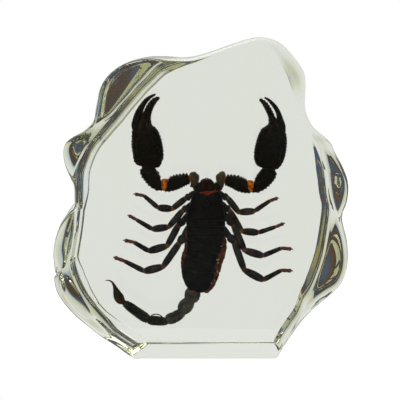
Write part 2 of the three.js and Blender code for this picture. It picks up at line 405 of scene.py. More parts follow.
    def build(self, name: str) -> bpy.types.Object:
        """Makes the piece's object, in metres, with its masks as point attributes.

        Args:
            name: Name of the piece.

        Returns:
            The new object, linked to the scene.
        """
        points = np.concatenate(self.points) * MM
        quads = np.concatenate(self.quads).astype(np.int32)
        triangles = np.concatenate(self.triangles).astype(np.int32)
        mesh = bpy.data.meshes.new(name)
        mesh.from_pydata(points.tolist(), [], quads.tolist() + triangles.tolist())
        for label, parts in (("soft", self.soft), ("rust", self.rust)):
            worth = np.concatenate(parts).astype(np.float32)
            mesh.attributes.new(label, "FLOAT", "POINT").data.foreach_set("value", worth)
        mesh.polygons.foreach_set("use_smooth", np.ones(len(mesh.polygons), bool))
        mesh.update()
        piece = bpy.data.objects.new(name, mesh)
        bpy.context.collection.objects.link(piece)
        return piece


def tube_faces(rings: int, around: int) -> tuple[np.ndarray, np.ndarray]:
    """Faces of a tube of rings closed by two poles, which stand after the rings' points.

    Args:
        rings: Number of rings.
        around: Points in each ring.

    Returns:
        Quads between the rings, and triangles at the poles, all facing out.
    """
    i = np.arange(around)
    after = (i + 1) % around
    row = (np.arange(rings - 1) * around)[:, None]
    quads = np.stack([row + i, row + after, row + after + around, row + i + around], axis=-1)
    top = (rings - 1) * around
    start = np.full(around, rings * around)
    low = np.stack([start, after, i], axis=-1)
    high = np.stack([start + 1, top + i, top + after], axis=-1)
    return quads.reshape(-1, 4), np.concatenate([low, high])


# ---------------------------------------------------------------- finishes


@dataclass(frozen=True)
class NodeBoard:
    """A node tree with short calls for adding and joining nodes."""

    tree: bpy.types.NodeTree

    def node(self, kind: str, **values: object) -> bpy.types.Node:
        """Adds a node.

        Args:
            kind: Blender's name of the node type.
            values: Values of its properties, and of its inputs where no property has the name.

        Returns:
            The new node.
        """
        made = self.tree.nodes.new(kind)
        for name, value in values.items():
            if hasattr(made, name):
                setattr(made, name, value)
            else:
                made.inputs[name.replace("_", " ")].default_value = value
        return made

    def join(self, source: bpy.types.NodeSocket, target: bpy.types.NodeSocket) -> None:
        """Joins an output to an input."""
        self.tree.links.new(source, target)

    def math(self, operation: str, *values: bpy.types.NodeSocket | float) -> bpy.types.NodeSocket:
        """Adds a math node.

        Args:
            operation: Blender's name of the sum.
            values: Sockets or numbers that it works on.

        Returns:
            Its result.
        """
        made = self.node("ShaderNodeMath", operation=operation)
        for value, socket in zip(values, made.inputs):
            if isinstance(value, bpy.types.NodeSocket):
                self.join(value, socket)
            else:
                socket.default_value = value
        return made.outputs[0]

    def step(self, value: bpy.types.NodeSocket, low: float, high: float) -> bpy.types.NodeSocket:
        """Adds a smooth step.

        Args:
            value: What it reads.
            low: Value at which it starts to rise from 0.
            high: Value at which it reaches 1.

        Returns:
            Its result.
        """
        made = self.node("ShaderNodeMapRange", interpolation_type="SMOOTHSTEP")
        made.inputs["From Min"].default_value = low
        made.inputs["From Max"].default_value = high
        self.join(value, made.inputs["Value"])
        return made.outputs["Result"]

    def ramp(self, share: bpy.types.NodeSocket, *stops: Sequence[float]) -> bpy.types.NodeSocket:
        """Adds a colour ramp.

        Args:
            share: What it reads, from 0 to 1.
            stops: Place, red, green and blue of each stop.

        Returns:
            The colour at that share.
        """
        made = self.node("ShaderNodeValToRGB")
        steps = made.color_ramp.elements
        while len(steps) < len(stops):
            steps.new(1.0)
        for step, (place, *colour) in zip(steps, stops):
            step.position = place
            step.color = (*colour, 1.0)
        self.join(share, made.inputs["Fac"])
        return made.outputs["Color"]

    def blend(
        self,
        share: bpy.types.NodeSocket,
        low: bpy.types.NodeSocket | Sequence[float],
        high: bpy.types.NodeSocket | Sequence[float],
    ) -> bpy.types.NodeSocket:
        """Mixes two colours.

        Args:
            share: Share of the second colour, from 0 to 1.
            low: First colour.
            high: Second colour.

        Returns:
            The mixed colour.
        """
        mix = self.node("ShaderNodeMix", data_type="RGBA")
        self.join(share, mix.inputs[0])
        for value, socket in ((low, mix.inputs[6]), (high, mix.inputs[7])):
            if isinstance(value, bpy.types.NodeSocket):
                self.join(value, socket)
            else:
                socket.default_value = (*value, 1.0)
        return mix.outputs[2]


def new_material(name: str) -> tuple[bpy.types.Material, NodeBoard]:
    """Makes an empty material.

    Args:
        name: Its name.

    Returns:
        The material and the board of its nodes.
    """
    material = bpy.data.materials.new(name)
    material.use_nodes = True
    material.node_tree.nodes.clear()
    return material, NodeBoard(material.node_tree)


def shell_grain() -> bpy.types.NodeTree:
    """Shared effect: fine grains and slow mottling of horny shell.

    Height is one minus the distance to the nearest of scattered points, softened, plus weak fine
    noise; Mottle is slow noise stretched to the full range.

    Returns:
        The node group, made once.
    """
    name = "shell_grain"
    if name in bpy.data.node_groups:
        return bpy.data.node_groups[name]
    group = bpy.data.node_groups.new(name, "ShaderNodeTree")
    for label, low in (("Grain Scale", 1500.0), ("Mottle Scale", 260.0)):
        socket = group.interface.new_socket(label, in_out="INPUT", socket_type="NodeSocketFloat")
        socket.default_value = low
    group.interface.new_socket("Height", in_out="OUTPUT", socket_type="NodeSocketFloat")
    group.interface.new_socket("Mottle", in_out="OUTPUT", socket_type="NodeSocketFloat")
    board = NodeBoard(group)
    entry = board.node("NodeGroupInput")
    leave = board.node("NodeGroupOutput")
    place = board.node("ShaderNodeTexCoord")
    grains = board.node("ShaderNodeTexVoronoi", feature="SMOOTH_F1", Smoothness=0.35)
    board.join(place.outputs["Object"], grains.inputs["Vector"])
    board.join(entry.outputs["Grain Scale"], grains.inputs["Scale"])
    flip = board.node("ShaderNodeMapRange")
    flip.inputs["From Max"].default_value = 0.7
    flip.inputs["To Min"].default_value = 1.0
    flip.inputs["To Max"].default_value = 0.0
    board.join(grains.outputs["Distance"], flip.inputs["Value"])
    fine = board.node("ShaderNodeTexNoise", Detail=4.0, Scale=2600.0)
    board.join(place.outputs["Object"], fine.inputs["Vector"])
    add = board.node("ShaderNodeMath", operation="MULTIPLY_ADD")
    add.inputs[1].default_value = 0.25
    board.join(fine.outputs["Fac"], add.inputs[0])
    board.join(flip.outputs["Result"], add.inputs[2])
    board.join(add.outputs[0], leave.inputs["Height"])
    slow = board.node("ShaderNodeTexNoise", Detail=3.0)
    board.join(place.outputs["Object"], slow.inputs["Vector"])
    board.join(entry.outputs["Mottle Scale"], slow.inputs["Scale"])
    spread = board.node("ShaderNodeMapRange")
    spread.inputs["From Min"].default_value = 0.35
    spread.inputs["From Max"].default_value = 0.65
    board.join(slow.outputs["Fac"], spread.inputs["Value"])
    board.join(spread.outputs["Result"], leave.inputs["Mottle"])
    return group


@dataclass(frozen=True)
class ShellFinish:
    """Horny shell with joint skin, reddish ends and painted glints, read from the piece's masks.

    Attributes:
        name: Material name.
        dark: Darker shell colour of the slow mottling.
        light: Lighter shell colour of the slow mottling.
        rust: Colour of the reddish shell; on the flank, the pale colour of painted glints.
        skin: Colours of the joint skin, darker and brighter.
        rough: Roughness of the shell.
        grain: Scale of the grains, per metre.
        mottle: Scale of the slow mottling, per metre.
        relief: Bump strength.
        haze: Two colours of the painted glow that the shell gives off to rays that have turned
        twice, standing in for the resin's haze over the shell's mirror images in the wall.
    """

    name: str
    dark: Colour
    light: Colour
    rust: Colour = (0.09, 0.022, 0.012)
    skin: tuple[Colour, Colour] = ((0.16, 0.03, 0.008), (0.62, 0.16, 0.02))
    rough: float = 0.42
    grain: float = 1500.0
    mottle: float = 260.0
    relief: float = 0.5
    haze: tuple[Colour, Colour] = ((0.075, 0.105, 0.17), (0.08, 0.06, 0.045))

    def material(self) -> bpy.types.Material:
        """Makes the material.

        Dark and light shell are mixed by the mottling, then with rust and glint and with skin by the
        masks. The veil is a faint painted glow that the shell gives off, which only rays with two or
        more turns behind them meet, and no diffuse ray. It stands for haze in the resin, which isn't
        traced. A ray straight through a face has one turn behind it and sees none of it.

        Returns:
            The new material.
        """
        material, board = new_material(self.name)
        out = board.node("ShaderNodeOutputMaterial")
        shader = board.node("ShaderNodeBsdfPrincipled")
        board.join(shader.outputs[0], out.inputs["Surface"])
        shader.inputs["IOR"].default_value = 1.5
        shader.inputs["Specular IOR Level"].default_value = 0.07
        grain = board.node("ShaderNodeGroup", node_tree=shell_grain())
        grain.inputs["Grain Scale"].default_value = self.grain
        grain.inputs["Mottle Scale"].default_value = self.mottle
        soft = board.node("ShaderNodeAttribute", attribute_name="soft")
        rust = board.node("ShaderNodeAttribute", attribute_name="rust")
        shell = board.blend(grain.outputs["Mottle"], self.dark, self.light)
        shell = board.blend(rust.outputs["Fac"], shell, self.rust)
        skin = board.blend(grain.outputs["Mottle"], self.skin[0], self.skin[1])
        colour = board.blend(soft.outputs["Fac"], shell, skin)
        board.join(colour, shader.inputs["Base Color"])
        rough = board.node("ShaderNodeMapRange")
        rough.inputs["To Min"].default_value = self.rough + 0.1
        rough.inputs["To Max"].default_value = self.rough - 0.1
        board.join(grain.outputs["Height"], rough.inputs["Value"])
        board.join(rough.outputs["Result"], shader.inputs["Roughness"])
        bump = board.node("ShaderNodeBump", Strength=self.relief, Distance=0.0002)
        board.join(grain.outputs["Height"], bump.inputs["Height"])
        board.join(bump.outputs["Normal"], shader.inputs["Normal"])
        # Painted glow: faint slate and brown light given off by the shell to rays that turned twice.
        path = board.node("ShaderNodeLightPath")
        turned = board.step(path.outputs["Ray Depth"], 1.4, 1.6)
        sharp = board.math("MULTIPLY_ADD", path.outputs["Is Diffuse Ray"], -1.0, 1.0)
        mirrored = board.math("MULTIPLY", turned, sharp)
        place = board.node("ShaderNodeTexCoord")
        cloud = board.node("ShaderNodeTexNoise", Scale=55.0, Detail=1.0)
        board.join(place.outputs["Object"], cloud.inputs["Vector"])
        haze = board.blend(board.step(cloud.outputs["Fac"], 0.38, 0.62), self.haze[0], self.haze[1])
        board.join(board.blend(mirrored, (0.0, 0.0, 0.0), haze), shader.inputs["Emission Color"])
        shader.inputs["Emission Strength"].default_value = 1.0
        return material


@dataclass(frozen=True)
class ResinFinish:
    """Clear cast resin, faintly green-yellow through its depth.

    Attributes:
        index: Refractive index.
        tint: Colour left by the volume.
        density: Strength of the volume, per metre.
    """

    index: float = 1.49
    tint: Colour = (0.52, 0.54, 0.1)
    density: float = 5.0

    def material(self) -> bpy.types.Material:
        """Makes the material: smooth transmission, and a volume that soaks up some light.

        Returns:
            The new material.
        """
        material, board = new_material("clear_resin")
        out = board.node("ShaderNodeOutputMaterial")
        shader = board.node("ShaderNodeBsdfPrincipled")
        shader.inputs["Base Color"].default_value = (1, 1, 1, 1)
        shader.inputs["Roughness"].default_value = 0.0
        shader.inputs["IOR"].default_value = self.index
        shader.inputs["Transmission Weight"].default_value = 1.0
        board.join(shader.outputs[0], out.inputs["Surface"])
        soak = board.node("ShaderNodeVolumeAbsorption")
        soak.inputs["Color"].default_value = (*self.tint, 1.0)
        soak.inputs["Density"].default_value = self.density
        board.join(soak.outputs[0], out.inputs["Volume"])
        return material


HAND_FINISH = ShellFinish(
    "hand_shell",
    (0.002, 0.002, 0.0016),
    (0.009, 0.0065, 0.004),
    rust=(0.085, 0.06, 0.034),
    skin=((0.08, 0.012, 0.003), (1.0, 0.25, 0.015)),
    mottle=750.0,
    relief=0.7,
)
HEAD_FINISH = ShellFinish("head_shell", (0.001, 0.0013, 0.002), (0.005, 0.006, 0.008), relief=0.6)
BODY_FINISH = ShellFinish("back_shell", (0.003, 0.003, 0.0025), (0.011, 0.01, 0.007), relief=0.6)
JAW_FINISH = ShellFinish(
    "jaw_shell",
    (0.0004, 0.0004, 0.0003),
    (0.006, 0.004, 0.003),
    rust=(0.12, 0.04, 0.02),
    skin=((0.04, 0.004, 0.002), (0.34, 0.04, 0.01)),
    grain=700.0,
)
FLANK_FINISH = ShellFinish(
    "flank_skin",
    (0.02, 0.012, 0.008),
    (0.05, 0.025, 0.015),
    # Pale grey painted glint colour, worn only by the small flakes on the right flank.
    rust=(0.36, 0.38, 0.42),
    skin=((0.035, 0.01, 0.005), (0.2, 0.06, 0.025)),
    mottle=600.0,
    grain=700.0,
)
BELLY_FINISH = ShellFinish(
    "belly_shell",
    (0.01, 0.008, 0.006),
    (0.035, 0.026, 0.018),
    rust=(0.16, 0.07, 0.035),
    grain=600.0,
    relief=0.2,
)
TAIL_FINISH = ShellFinish(
    "tail_shell", (0.035, 0.034, 0.026), (0.1, 0.095, 0.08), rust=(0.16, 0.05, 0.03)
)
STING_FINISH = ShellFinish(
    "sting_shell", (0.007, 0.007, 0.004), (0.035, 0.032, 0.02), rust=(0.11, 0.02, 0.012)
)
LEG_FINISH = ShellFinish(
    "leg_shell",
    (0.009, 0.008, 0.009),
    (0.045, 0.037, 0.041),
    rust=(0.19, 0.07, 0.055),
    skin=((0.08, 0.03, 0.012), (0.34, 0.12, 0.035)),
    grain=900.0,
    relief=0.3,
)


def hand_in(piece: bpy.types.Object, material: bpy.types.Material, slot: Slot, *nodes: str) -> None:
    """Dresses a finished piece and tells the frame what it rides on and stands for.

    Args:
        piece: The piece.
        material: Its finish.
        slot: The record's slot; not used.
        nodes: Solids that it stands for.
    """
    piece.data.materials.append(material)
    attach(piece, "root")
    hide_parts(*nodes)
    LOG.info("%s: %d faces", piece.name, len(piece.data.polygons))


def dress_shells(built: Sequence[tuple[bpy.types.Object, ShellFinish]]) -> None:
    """Hands in pieces of the animal, in the order given.

    Args:
        built: Each piece with its finish.
    """
    for piece, finish in built:
        hand_in(piece, finish.material(), Slot.CUTICLE, "scorpion")


# ---------------------------------------------------------------- resin block


@dataclass(frozen=True)
class Lobe:
    """A round swelling or hollow of the block's wall.

    Its height is h (1 - r)^p for r under 1, where r is the squared distance from its middle over
    its half sizes.

    Attributes:
        row: Its middle along the rim, in rim points.
        reach: Half length along the rim, in rim points.
        share: Its middle from front face (0) to back face (1).
        depth: Half size across the wall, as a share of it.
        height: Height in mm, below zero for a hollow.
        power: 1 gives a sharp border, 2 a soft one.
        slant: Rim points that its middle moves from the front face to the back.
    """

    row: float
    reach: float
    share: float
    depth: float
    height: float
    power: float = 1.5
    slant: float = 0.0

    def lift(self, row: np.ndarray, share: float) -> np.ndarray:
        """Height at places along the rim.

        Args:
            row: The places, in rim points.
            share: How far back from the front face, from 0 to 1.

        Returns:
            Heights in mm.
        """
        middle = self.row + self.slant * (share - self.share)
        far = ((row - middle) / self.reach) ** 2 + ((share - self.share) / self.depth) ** 2
        return self.height * np.clip(1 - far, 0, 1) ** self.power


@dataclass
class ResinBlock:
    """The clear block: a flat large front, a smaller flat back and a wavy wall between them.

    Attributes:
        thickness: From face to face.
        edge_round: Radius of the long edge round the front face.
        crown: How far the wall bows out at mid-thickness.
        flare: How far the wall stands out from the back outline before the back edge.
        limits: Least and greatest x, which no swelling passes.
        rim_step: Steps from one point of the rim to the next.
        wall_bands: Bands of the wall between the two edges.
        back_edge: Polished bevel round the back face: [distance from the face, inset of the
            wall, further inset of the broad band, further inset of the narrow strip].
        edge_share: Rim points, and the share of the wall's inset there, flare included.
        band_share: Rim points, and the share of the broad band there.
        strip_share: Rim points, and the share of the narrow strip there.
        base_edges: Sizes of the small bevels at the base's front and back edges.
        rim: [front x, front z, back x, back z], from the base's left end over the top to its right.
        lobes: Swellings and hollows of the wall.
        ripple: Height of the slight unevenness that polishing by hand leaves in the wall.
    """

    thickness: float = 34.0
    edge_round: float = 1.8
    crown: float = 0.3
    flare: float = 3.65
    limits: tuple[float, float] = (-68.8, 69.2)
    rim_step: int = 8
    wall_bands: int = 36
    back_edge: tuple[Row, ...] = (
        (9, 0, 0, 0), (7.5, 0.28, 0.02, 0), (6, 0.58, 0.08, 0), (4.8, 0.8, 0.2, 0), (4, 0.92, 0.48, 0),
        (3.2, 1.02, 0.93, 0), (2.5, 1.12, 1.38, 0), (1.95, 1.2, 1.85, 0), (1.3, 1.3, 2.3, 0.35),
        (0.6, 1.4, 2.8, 0.65), (0.2, 1.45, 3.1, 0.7), (0, 1.5, 3.2, 0.7),
    )
    edge_share: tuple[Row, Row] = ((29, 33, 44.2, 46.4), (1, 0.3, 0.3, 1))
    band_share: tuple[Row, Row] = (
        (2.5, 4.5, 5.5, 7.5, 8.6, 11, 14.5, 16.8, 30, 33, 44.2, 46.2, 53.5, 55.5),
        (1, 0.45, 0.45, 0.9, 0.9, 0.25, 0.25, 1, 1, 0.5, 0.5, 0.8, 0.8, 0.4),
    )
    strip_share: tuple[Row, Row] = ((8.6, 11, 14.5, 16.8, 30, 34), (1, 2, 2, 1, 1, 0))
    base_edges: tuple[float, float] = (0.3, 1.0)
    rim: tuple[Row, ...] = (
        (-32.5, 0, -27.5, 0), (-36, 2.5, -31, 3), (-40.5, 6, -36, 6.5), (-45.5, 9.5, -40.5, 10),
        (-49.5, 12.5, -44, 14), (-54, 16.5, -48, 18.5), (-59, 21, -51.5, 23), (-64, 27, -55, 28.5),
        (-67.5, 33, -57.5, 34), (-68.8, 39.5, -59, 39), (-67.9, 42, -59.5, 42), (-68.4, 45, -59.3, 45),
        (-68.7, 52.5, -58, 52), (-67.3, 60, -56.8, 59), (-64.8, 66.5, -56, 65), (-61.5, 71.5, -55.3, 70),
        (-58.7, 75, -55.1, 74), (-58.1, 80, -54.9, 79), (-58.3, 85, -54.7, 84), (-59.8, 89, -54, 88.5),
        (-61.3, 96, -51.5, 95), (-60.9, 102.5, -48.5, 100), (-57.8, 106.5, -45, 104),
        (-52, 110.5, -41.5, 108), (-47.8, 115, -37.5, 112.5), (-45.4, 121.5, -34, 117.5),
        (-42.8, 129, -30, 122.5), (-38.6, 134.5, -26.5, 126.5), (-32, 139, -22, 130.5),
        (-23.5, 141.8, -17, 134.5), (-13.3, 142.5, -10, 137.5), (-4.4, 142.8, -2.5, 139.3),
        (4.4, 145.2, 5, 141.5), (13.2, 148.3, 13, 144.5), (22, 151, 21, 147.2), (26, 151.5, 25.5, 148),
        (30.5, 151, 29.5, 146.5), (35, 149.3, 33, 143), (40, 145, 36, 138), (46, 137, 39, 132.5),
        (47.2, 130.5, 41, 127), (47.2, 121, 44, 120), (48.8, 116, 46.3, 115), (52, 111, 49, 110),
        (59, 105, 51.5, 104.5), (61.7, 100, 53.5, 99.5), (66, 92, 55.5, 91), (67.8, 85, 57, 84),
        (67.6, 77.5, 58, 76.5), (66.2, 71.5, 59, 71), (66.2, 67.5, 59, 67), (68.7, 57.5, 58, 57),
        (69.1, 47, 56.5, 47), (66.7, 38, 54, 38), (61.8, 32, 51.5, 31.5), (56.3, 27, 48.5, 26),
        (49.8, 20, 46, 19), (45.3, 13.5, 42.3, 13), (41.5, 7.5, 39, 7.5), (37, 0, 35.5, 0),
    )
    lobes: tuple[Lobe, ...] = (
        Lobe(26.8, 3.7, 0.28, 0.5, 2.9, 1.1),
        Lobe(26.6, 3.2, 0.78, 0.34, -1.2, 1.1),
        Lobe(20.8, 2.2, 0.3, 0.55, 1.5, 1.2),
        Lobe(17.0, 1.2, 0.35, 0.4, 0.4),
        Lobe(13.0, 2.9, 0.5, 0.42, 1.0, 0.5),
        Lobe(8.7, 1.1, 0.3, 0.28, 0.6, 1.0),
        Lobe(7.0, 1.9, 0.62, 0.36, 0.35, 0.5),
        Lobe(4.2, 1.8, 0.6, 0.4, -0.6, 2.0),
        Lobe(47.4, 2.4, 0.32, 0.4, 1.3, 1.2),
        Lobe(47.2, 2.2, 0.76, 0.34, -0.9, 1.2),
        Lobe(52.4, 2.6, 0.45, 0.5, 1.2, 1.2),
        Lobe(55.6, 1.4, 0.5, 0.4, 0.4),
    )
    ripple: float = 0.12

    def outline(self) -> np.ndarray:
        """Rim points on both faces.

        Between two points runs the cubic whose end slopes are half the step between their outer
        neighbours.

        Returns:
            Array of shape (n, 4): front x, front z, back x, back z.
        """
        rows = np.asarray(self.rim, float)
        knots = np.arange(len(rows), dtype=float)
        spots = np.linspace(0, len(rows) - 1, (len(rows) - 1) * self.rim_step + 1)
        return hermite(knots, rows, spots)

    def levels(self) -> np.ndarray:
        """Rings of the wall, front to back.

        The front edge is a quarter circle, the middle is evenly spaced and the back edge is the
        bevel's rows. The flare grows with the share and counts as a negative inset.

        Returns:
            Array of shape (levels, 5): y, share of the way back, and the insets of the wall, the
            broad band and the narrow strip.
        """
        face = self.thickness / 2
        turn = np.linspace(0, math.pi / 2, 9)
        round_y = -face + self.edge_round * (1 - np.cos(turn))
        round_in = self.edge_round * (1 - np.sin(turn))
        edge = np.asarray(self.back_edge, float)
        back_y = face - edge[:, 0]
        between = np.linspace(round_y[-1], back_y[0], self.wall_bands + 1)[1:-1]
        y = np.concatenate([round_y, between, back_y])
        share = np.clip((y - round_y[-1]) / (back_y[0] - round_y[-1]), 0, 1)
        inset = np.zeros((len(y), 3))
        inset[: len(round_y), 0] = round_in
        inset[-len(edge) :] = edge[:, 1:]
        inset[:, 0] -= self.flare * share
        return np.column_stack([y, share, inset])

    def surface(self) -> np.ndarray:
        """Points of the wall's rings.

        A point is the front outline's, moved by the share toward the back outline's, then out
        along the outline's normal by crown sin(pi share), the lobes and the ripple, less the
        inset. The inset is the wall's plus the band's and the strip's, each by its share along
        the rim. Behind the front edge the edge share scales it. The ripple is
        sin(pi share) times a product of two slow sines. Last, x is held within the limits and z
        above the base.

        Returns:
            Array of shape (levels, rim points, 3), in mm.
        """
        outline = self.outline()
        rows = np.arange(len(outline)) / self.rim_step
        keep = np.interp(rows, *self.edge_share)
        broad = np.interp(rows, *self.band_share)
        narrow = np.interp(rows, *self.strip_share)
        face = self.thickness / 2
        rings = []
        for y, share, wall, band, strip in self.levels():
            inset = wall + broad * band + narrow * strip
            line = outline[:, :2] * (1 - share) + outline[:, 2:] * share
            slope = np.gradient(line, axis=0)
            slope /= np.linalg.norm(slope, axis=1, keepdims=True)
            out = np.stack([-slope[:, 1], slope[:, 0]], axis=-1)
            out[0], out[-1] = (-1, 0), (1, 0)
            bow = math.sin(math.pi * share)
            swell = self.crown * bow + sum(lobe.lift(rows, share) for lobe in self.lobes)
            wave = np.sin(1.9 * rows + 5 * share) * np.sin(0.83 * rows - 4 * share + 1.3)
            swell = swell + self.ripple * bow * wave
            line = line + out * (swell - inset * (keep if share > 0 else 1))[:, None]
            line[:, 0] = np.clip(line[:, 0], *self.limits)
            base = max(0.0, self.base_edges[0] - face - y, self.base_edges[1] - face + y)
            line[1:-1, 1] = np.maximum(line[1:-1, 1], base + 0.02)
            line[[0, -1], 1] = base
            rings.append(np.stack([line[:, 0], np.full(len(line), y), line[:, 1]], axis=-1))
        return np.stack(rings)

    def build(self) -> bpy.types.Object:
        """Makes the closed block, smooth on its wall and flat on its two faces and its base.

        Returns:
            The new object, linked to the scene.
        """
        surface = self.surface()
        levels, around, _ = surface.shape
        i = np.arange(around - 1)
        row = (np.arange(levels - 1) * around)[:, None]
        wall = np.stack([row + i, row + i + 1, row + i + 1 + around, row + i + around], axis=-1)
        k = np.arange(levels - 1) * around
        last = around - 1
        base = np.stack([k + last, k, k + around, k + around + last], axis=-1)
        front = list(range(around))[::-1]
        back = list(range((levels - 1) * around, levels * around))
        faces = wall.reshape(-1, 4).tolist() + base.tolist() + [front, back]
        mesh = bpy.data.meshes.new("resin_block")
        mesh.from_pydata((surface.reshape(-1, 3) * MM).tolist(), [], faces)
        smooth = np.zeros(len(faces), bool)
        smooth[: wall.size // 4] = True
        mesh.polygons.foreach_set("use_smooth", smooth)
        mesh.set_sharp_from_angle(angle=math.radians(32))
        mesh.update()
        piece = bpy.data.objects.new("resin_block", mesh)
        bpy.context.collection.objects.link(piece)
        return piece

    def dress(self) -> None:
        """Builds the block and hands it in with its finish."""
        piece = self.build()
        hand_in(piece, ResinFinish().material(), Slot.RESIN, "resin_front", "resin_back")


# ---------------------------------------------------------------- the animal


def bead(x: float, z: float, reach: float, ends: Row, middle: Row) -> list[Row]:
    """Sections of a small round bead that lies along z.

    Args:
        x: Its middle.
        z: Its middle.
        reach: From its middle to each end, in mm.
        ends: Half width, half depth and y at both ends.
        middle: The same at its middle.

    Returns:
        Rows for a run.
    """
    return [(x, z - reach, *ends), (x, z, *middle), (x, z + reach, *ends)]


@dataclass
class Arm:
    """One pincer arm, from its base beside the head to the two fingers.

    Attributes:
        side: Side of the picture.
        base: Sections of the base piece.
        ring: Sections of the short second piece.
        upper: Sections of the upper arm.
        fold: Sections of the orange joint skin at the elbow.
        lower: Sections of the forearm.
        hand: Sections of the hand with its fixed inner finger.
        finger: Sections of the moving outer finger.
        spur: [x, z] of the forearm's spur, from root to point.
    """

    side: Side
    base: Sequence[Row]
    ring: Sequence[Row]
    upper: Sequence[Row]
    fold: Sequence[Row]
    lower: Sequence[Row]
    hand: Sequence[Row]
    finger: Sequence[Row]
    spur: Sequence[Row]

    def keels(self, *keels: Keel, grains: Pebbles, girth: float) -> Relief:
        """Relief made of keels over grains.

        Args:
            keels: Keels as they lie on the right arm; on the left their angles are mirrored.
            grains: Grains under them.
            girth: Mean distance round the form in mm.

        Returns:
            Height in mm from distance along and angle round.
        """
        turned = list(keels)
        if self.side is Side.LEFT:
            turned = [replace(keel, angle=math.pi - keel.angle) for keel in keels]

        def relief(along: np.ndarray, angle: np.ndarray) -> np.ndarray:
            """Sum of the keels and the grains."""
            high = grains(along, angle, girth)
            for keel in turned:
                high = high + keel(along, angle)
            return high

        return relief

    def build(self) -> bpy.types.Object:
        """Makes the arm as one piece.

        Returns:
            The new object, linked to the scene.
        """
        hide = Hide()
        seed = 11 if self.side is Side.LEFT else 23
        sign = self.side.value
        lumps = Pebbles(2.1, 0.6, seed)
        hide.carry(Run(self.base, 36, 0.4, (1.2, 0.8)), lumps.cover(16), 0.0, 0.12)
        ring = Run(self.ring, 48, 0.3, (0.8, 0.9), 2.6)
        hide.carry(ring, lumps.cover(20), self.ring_skin, 0.75, 20, 0.9, seed)
        joint = [self.ring[-2], self.upper[0], self.upper[1]]
        joint = [(x, z, 0.86 * w, 0.9 * d, y) for x, z, w, d, y in joint]
        hide.carry(Run(joint, 32, 0.4), None, 0.3)
        # The upper edge of the upper arm lies at angle pi on the right side and 0 on the left.
        fine = Pebbles(0.85, 0.15, seed + 1)
        upper = self.keels(
            Keel(math.pi, 0.3, 0.85, 1.5, 1.0),
            Keel(math.pi + 0.75, 0.2, 0.32, 1.2, 0.7),
            Keel(0.0, 0.35, 0.5, 1.3, 1.0),
            Keel(-0.6, 0.2, 0.26, 1.2, 0.7),
            grains=fine,
            girth=19,
        )
        run = Run(self.upper, 72, 0.2, (0.7, 0.7), 2.5, lean=(0.0, 1.5 * sign))
        hide.carry(run, upper, 0.0, 0.0, 50, 1.0, seed + 2)
        folds = Pebbles(0.8, 0.3, seed + 3)
        hide.carry(Run(self.fold, 48, 0.2, (0.9, 0.9)), folds.cover(15), 1.0)
        lower = self.keels(
            Keel(0.0, 0.28, 0.5, 1.35, 1.0),
            Keel(-0.7, 0.2, 0.3, 1.15, 0.7),
            Keel(math.pi + 0.6, 0.22, 0.34, 1.2, 0.7),
            Keel(math.pi, 0.3, 0.4, 1.3, 0.9),
            grains=fine,
            girth=22,
        )
        run = Run(self.lower, 80, 0.2, (0.8, 0.7), 2.5, lean=(-0.9 * sign, 0.0))
        hide.carry(run, lower, 0.0, 0.0, 50, 1.0, seed + 4)
        (x0, z0), (x1, z1) = self.spur
        spur = [
            (x0, z0, 0.75, 0.7, -1.4),
            ((x0 + x1) / 2, (z0 + z1) / 2, 0.5, 0.5, -1.4),
            (x1, z1, 0.14, 0.14, -1.4),
        ]
        hide.carry(Run(spur, 14, 0.3, (0.3, 0.2)))
        wrist = [self.lower[-2], self.lower[-1], self.hand[1]]
        wrist = [(x, z, 0.8 * w, 0.8 * d, y) for x, z, w, d, y in wrist]
        hide.carry(Run(wrist, 28, 0.4), None, 0.0, 0.15)
        hand = self.keels(
            Keel(0.0, 0.16, 0.42, 1.4, 1.0),
            Keel(-0.45, 0.12, 0.3, 1.3, 0.6),
            Keel(-0.95, 0.1, 0.26, 1.4, 0.6),
            Keel(math.pi + 0.9, 0.12, 0.24, 1.4, 0.6),
            Keel(math.pi, 0.2, 0.4, 1.3, 1.0),
            grains=Pebbles(0.95, 0.2, seed + 5),
            girth=34,
        )
        run = Run(self.hand, 128, 0.26, (1.0, 0.5), 2.25)
        hide.carry(run, hand, 0.0, self.finger_rust, 110, 1.0, seed + 6)
        finger = self.keels(
            Keel(0.0, 0.35, 0.2, 1.0, 0.8),
            Keel(math.pi, 0.3, 0.2, 0.9, 0.9),
            grains=Pebbles(0.8, 0.1, seed + 7),
            girth=9,
        )
        run = Run(self.finger, 40, 0.25, (1.2, 0.5), 2.2)
        hide.carry(run, finger, 0.0, self.finger_rust, 36, 0.8, seed + 8)
        return hide.build("arm_" + self.side.name.lower())

    @staticmethod
    def ring_skin(share: np.ndarray, _angle: np.ndarray) -> np.ndarray:
        """Skin share at the outer end of the short second piece."""
        return 0.6 * np.clip((share - 0.8) / 0.15, 0, 1)

    @staticmethod
    def finger_rust(share: np.ndarray, angle: np.ndarray) -> np.ndarray:
        """Brown share: a band of streaks at the fingers' roots, and a rise toward their points."""
        streaks = 0.3 * bell(share - 0.6, 0.09) * np.clip(np.sin(9 * angle), 0, 1) ** 2
        return 0.3 * np.clip((share - 0.8) / 0.2, 0, 1) + streaks

    def dress(self) -> None:
        """Builds the arm and hands it in with its finish."""
        dress_shells([(self.build(), HAND_FINISH)])


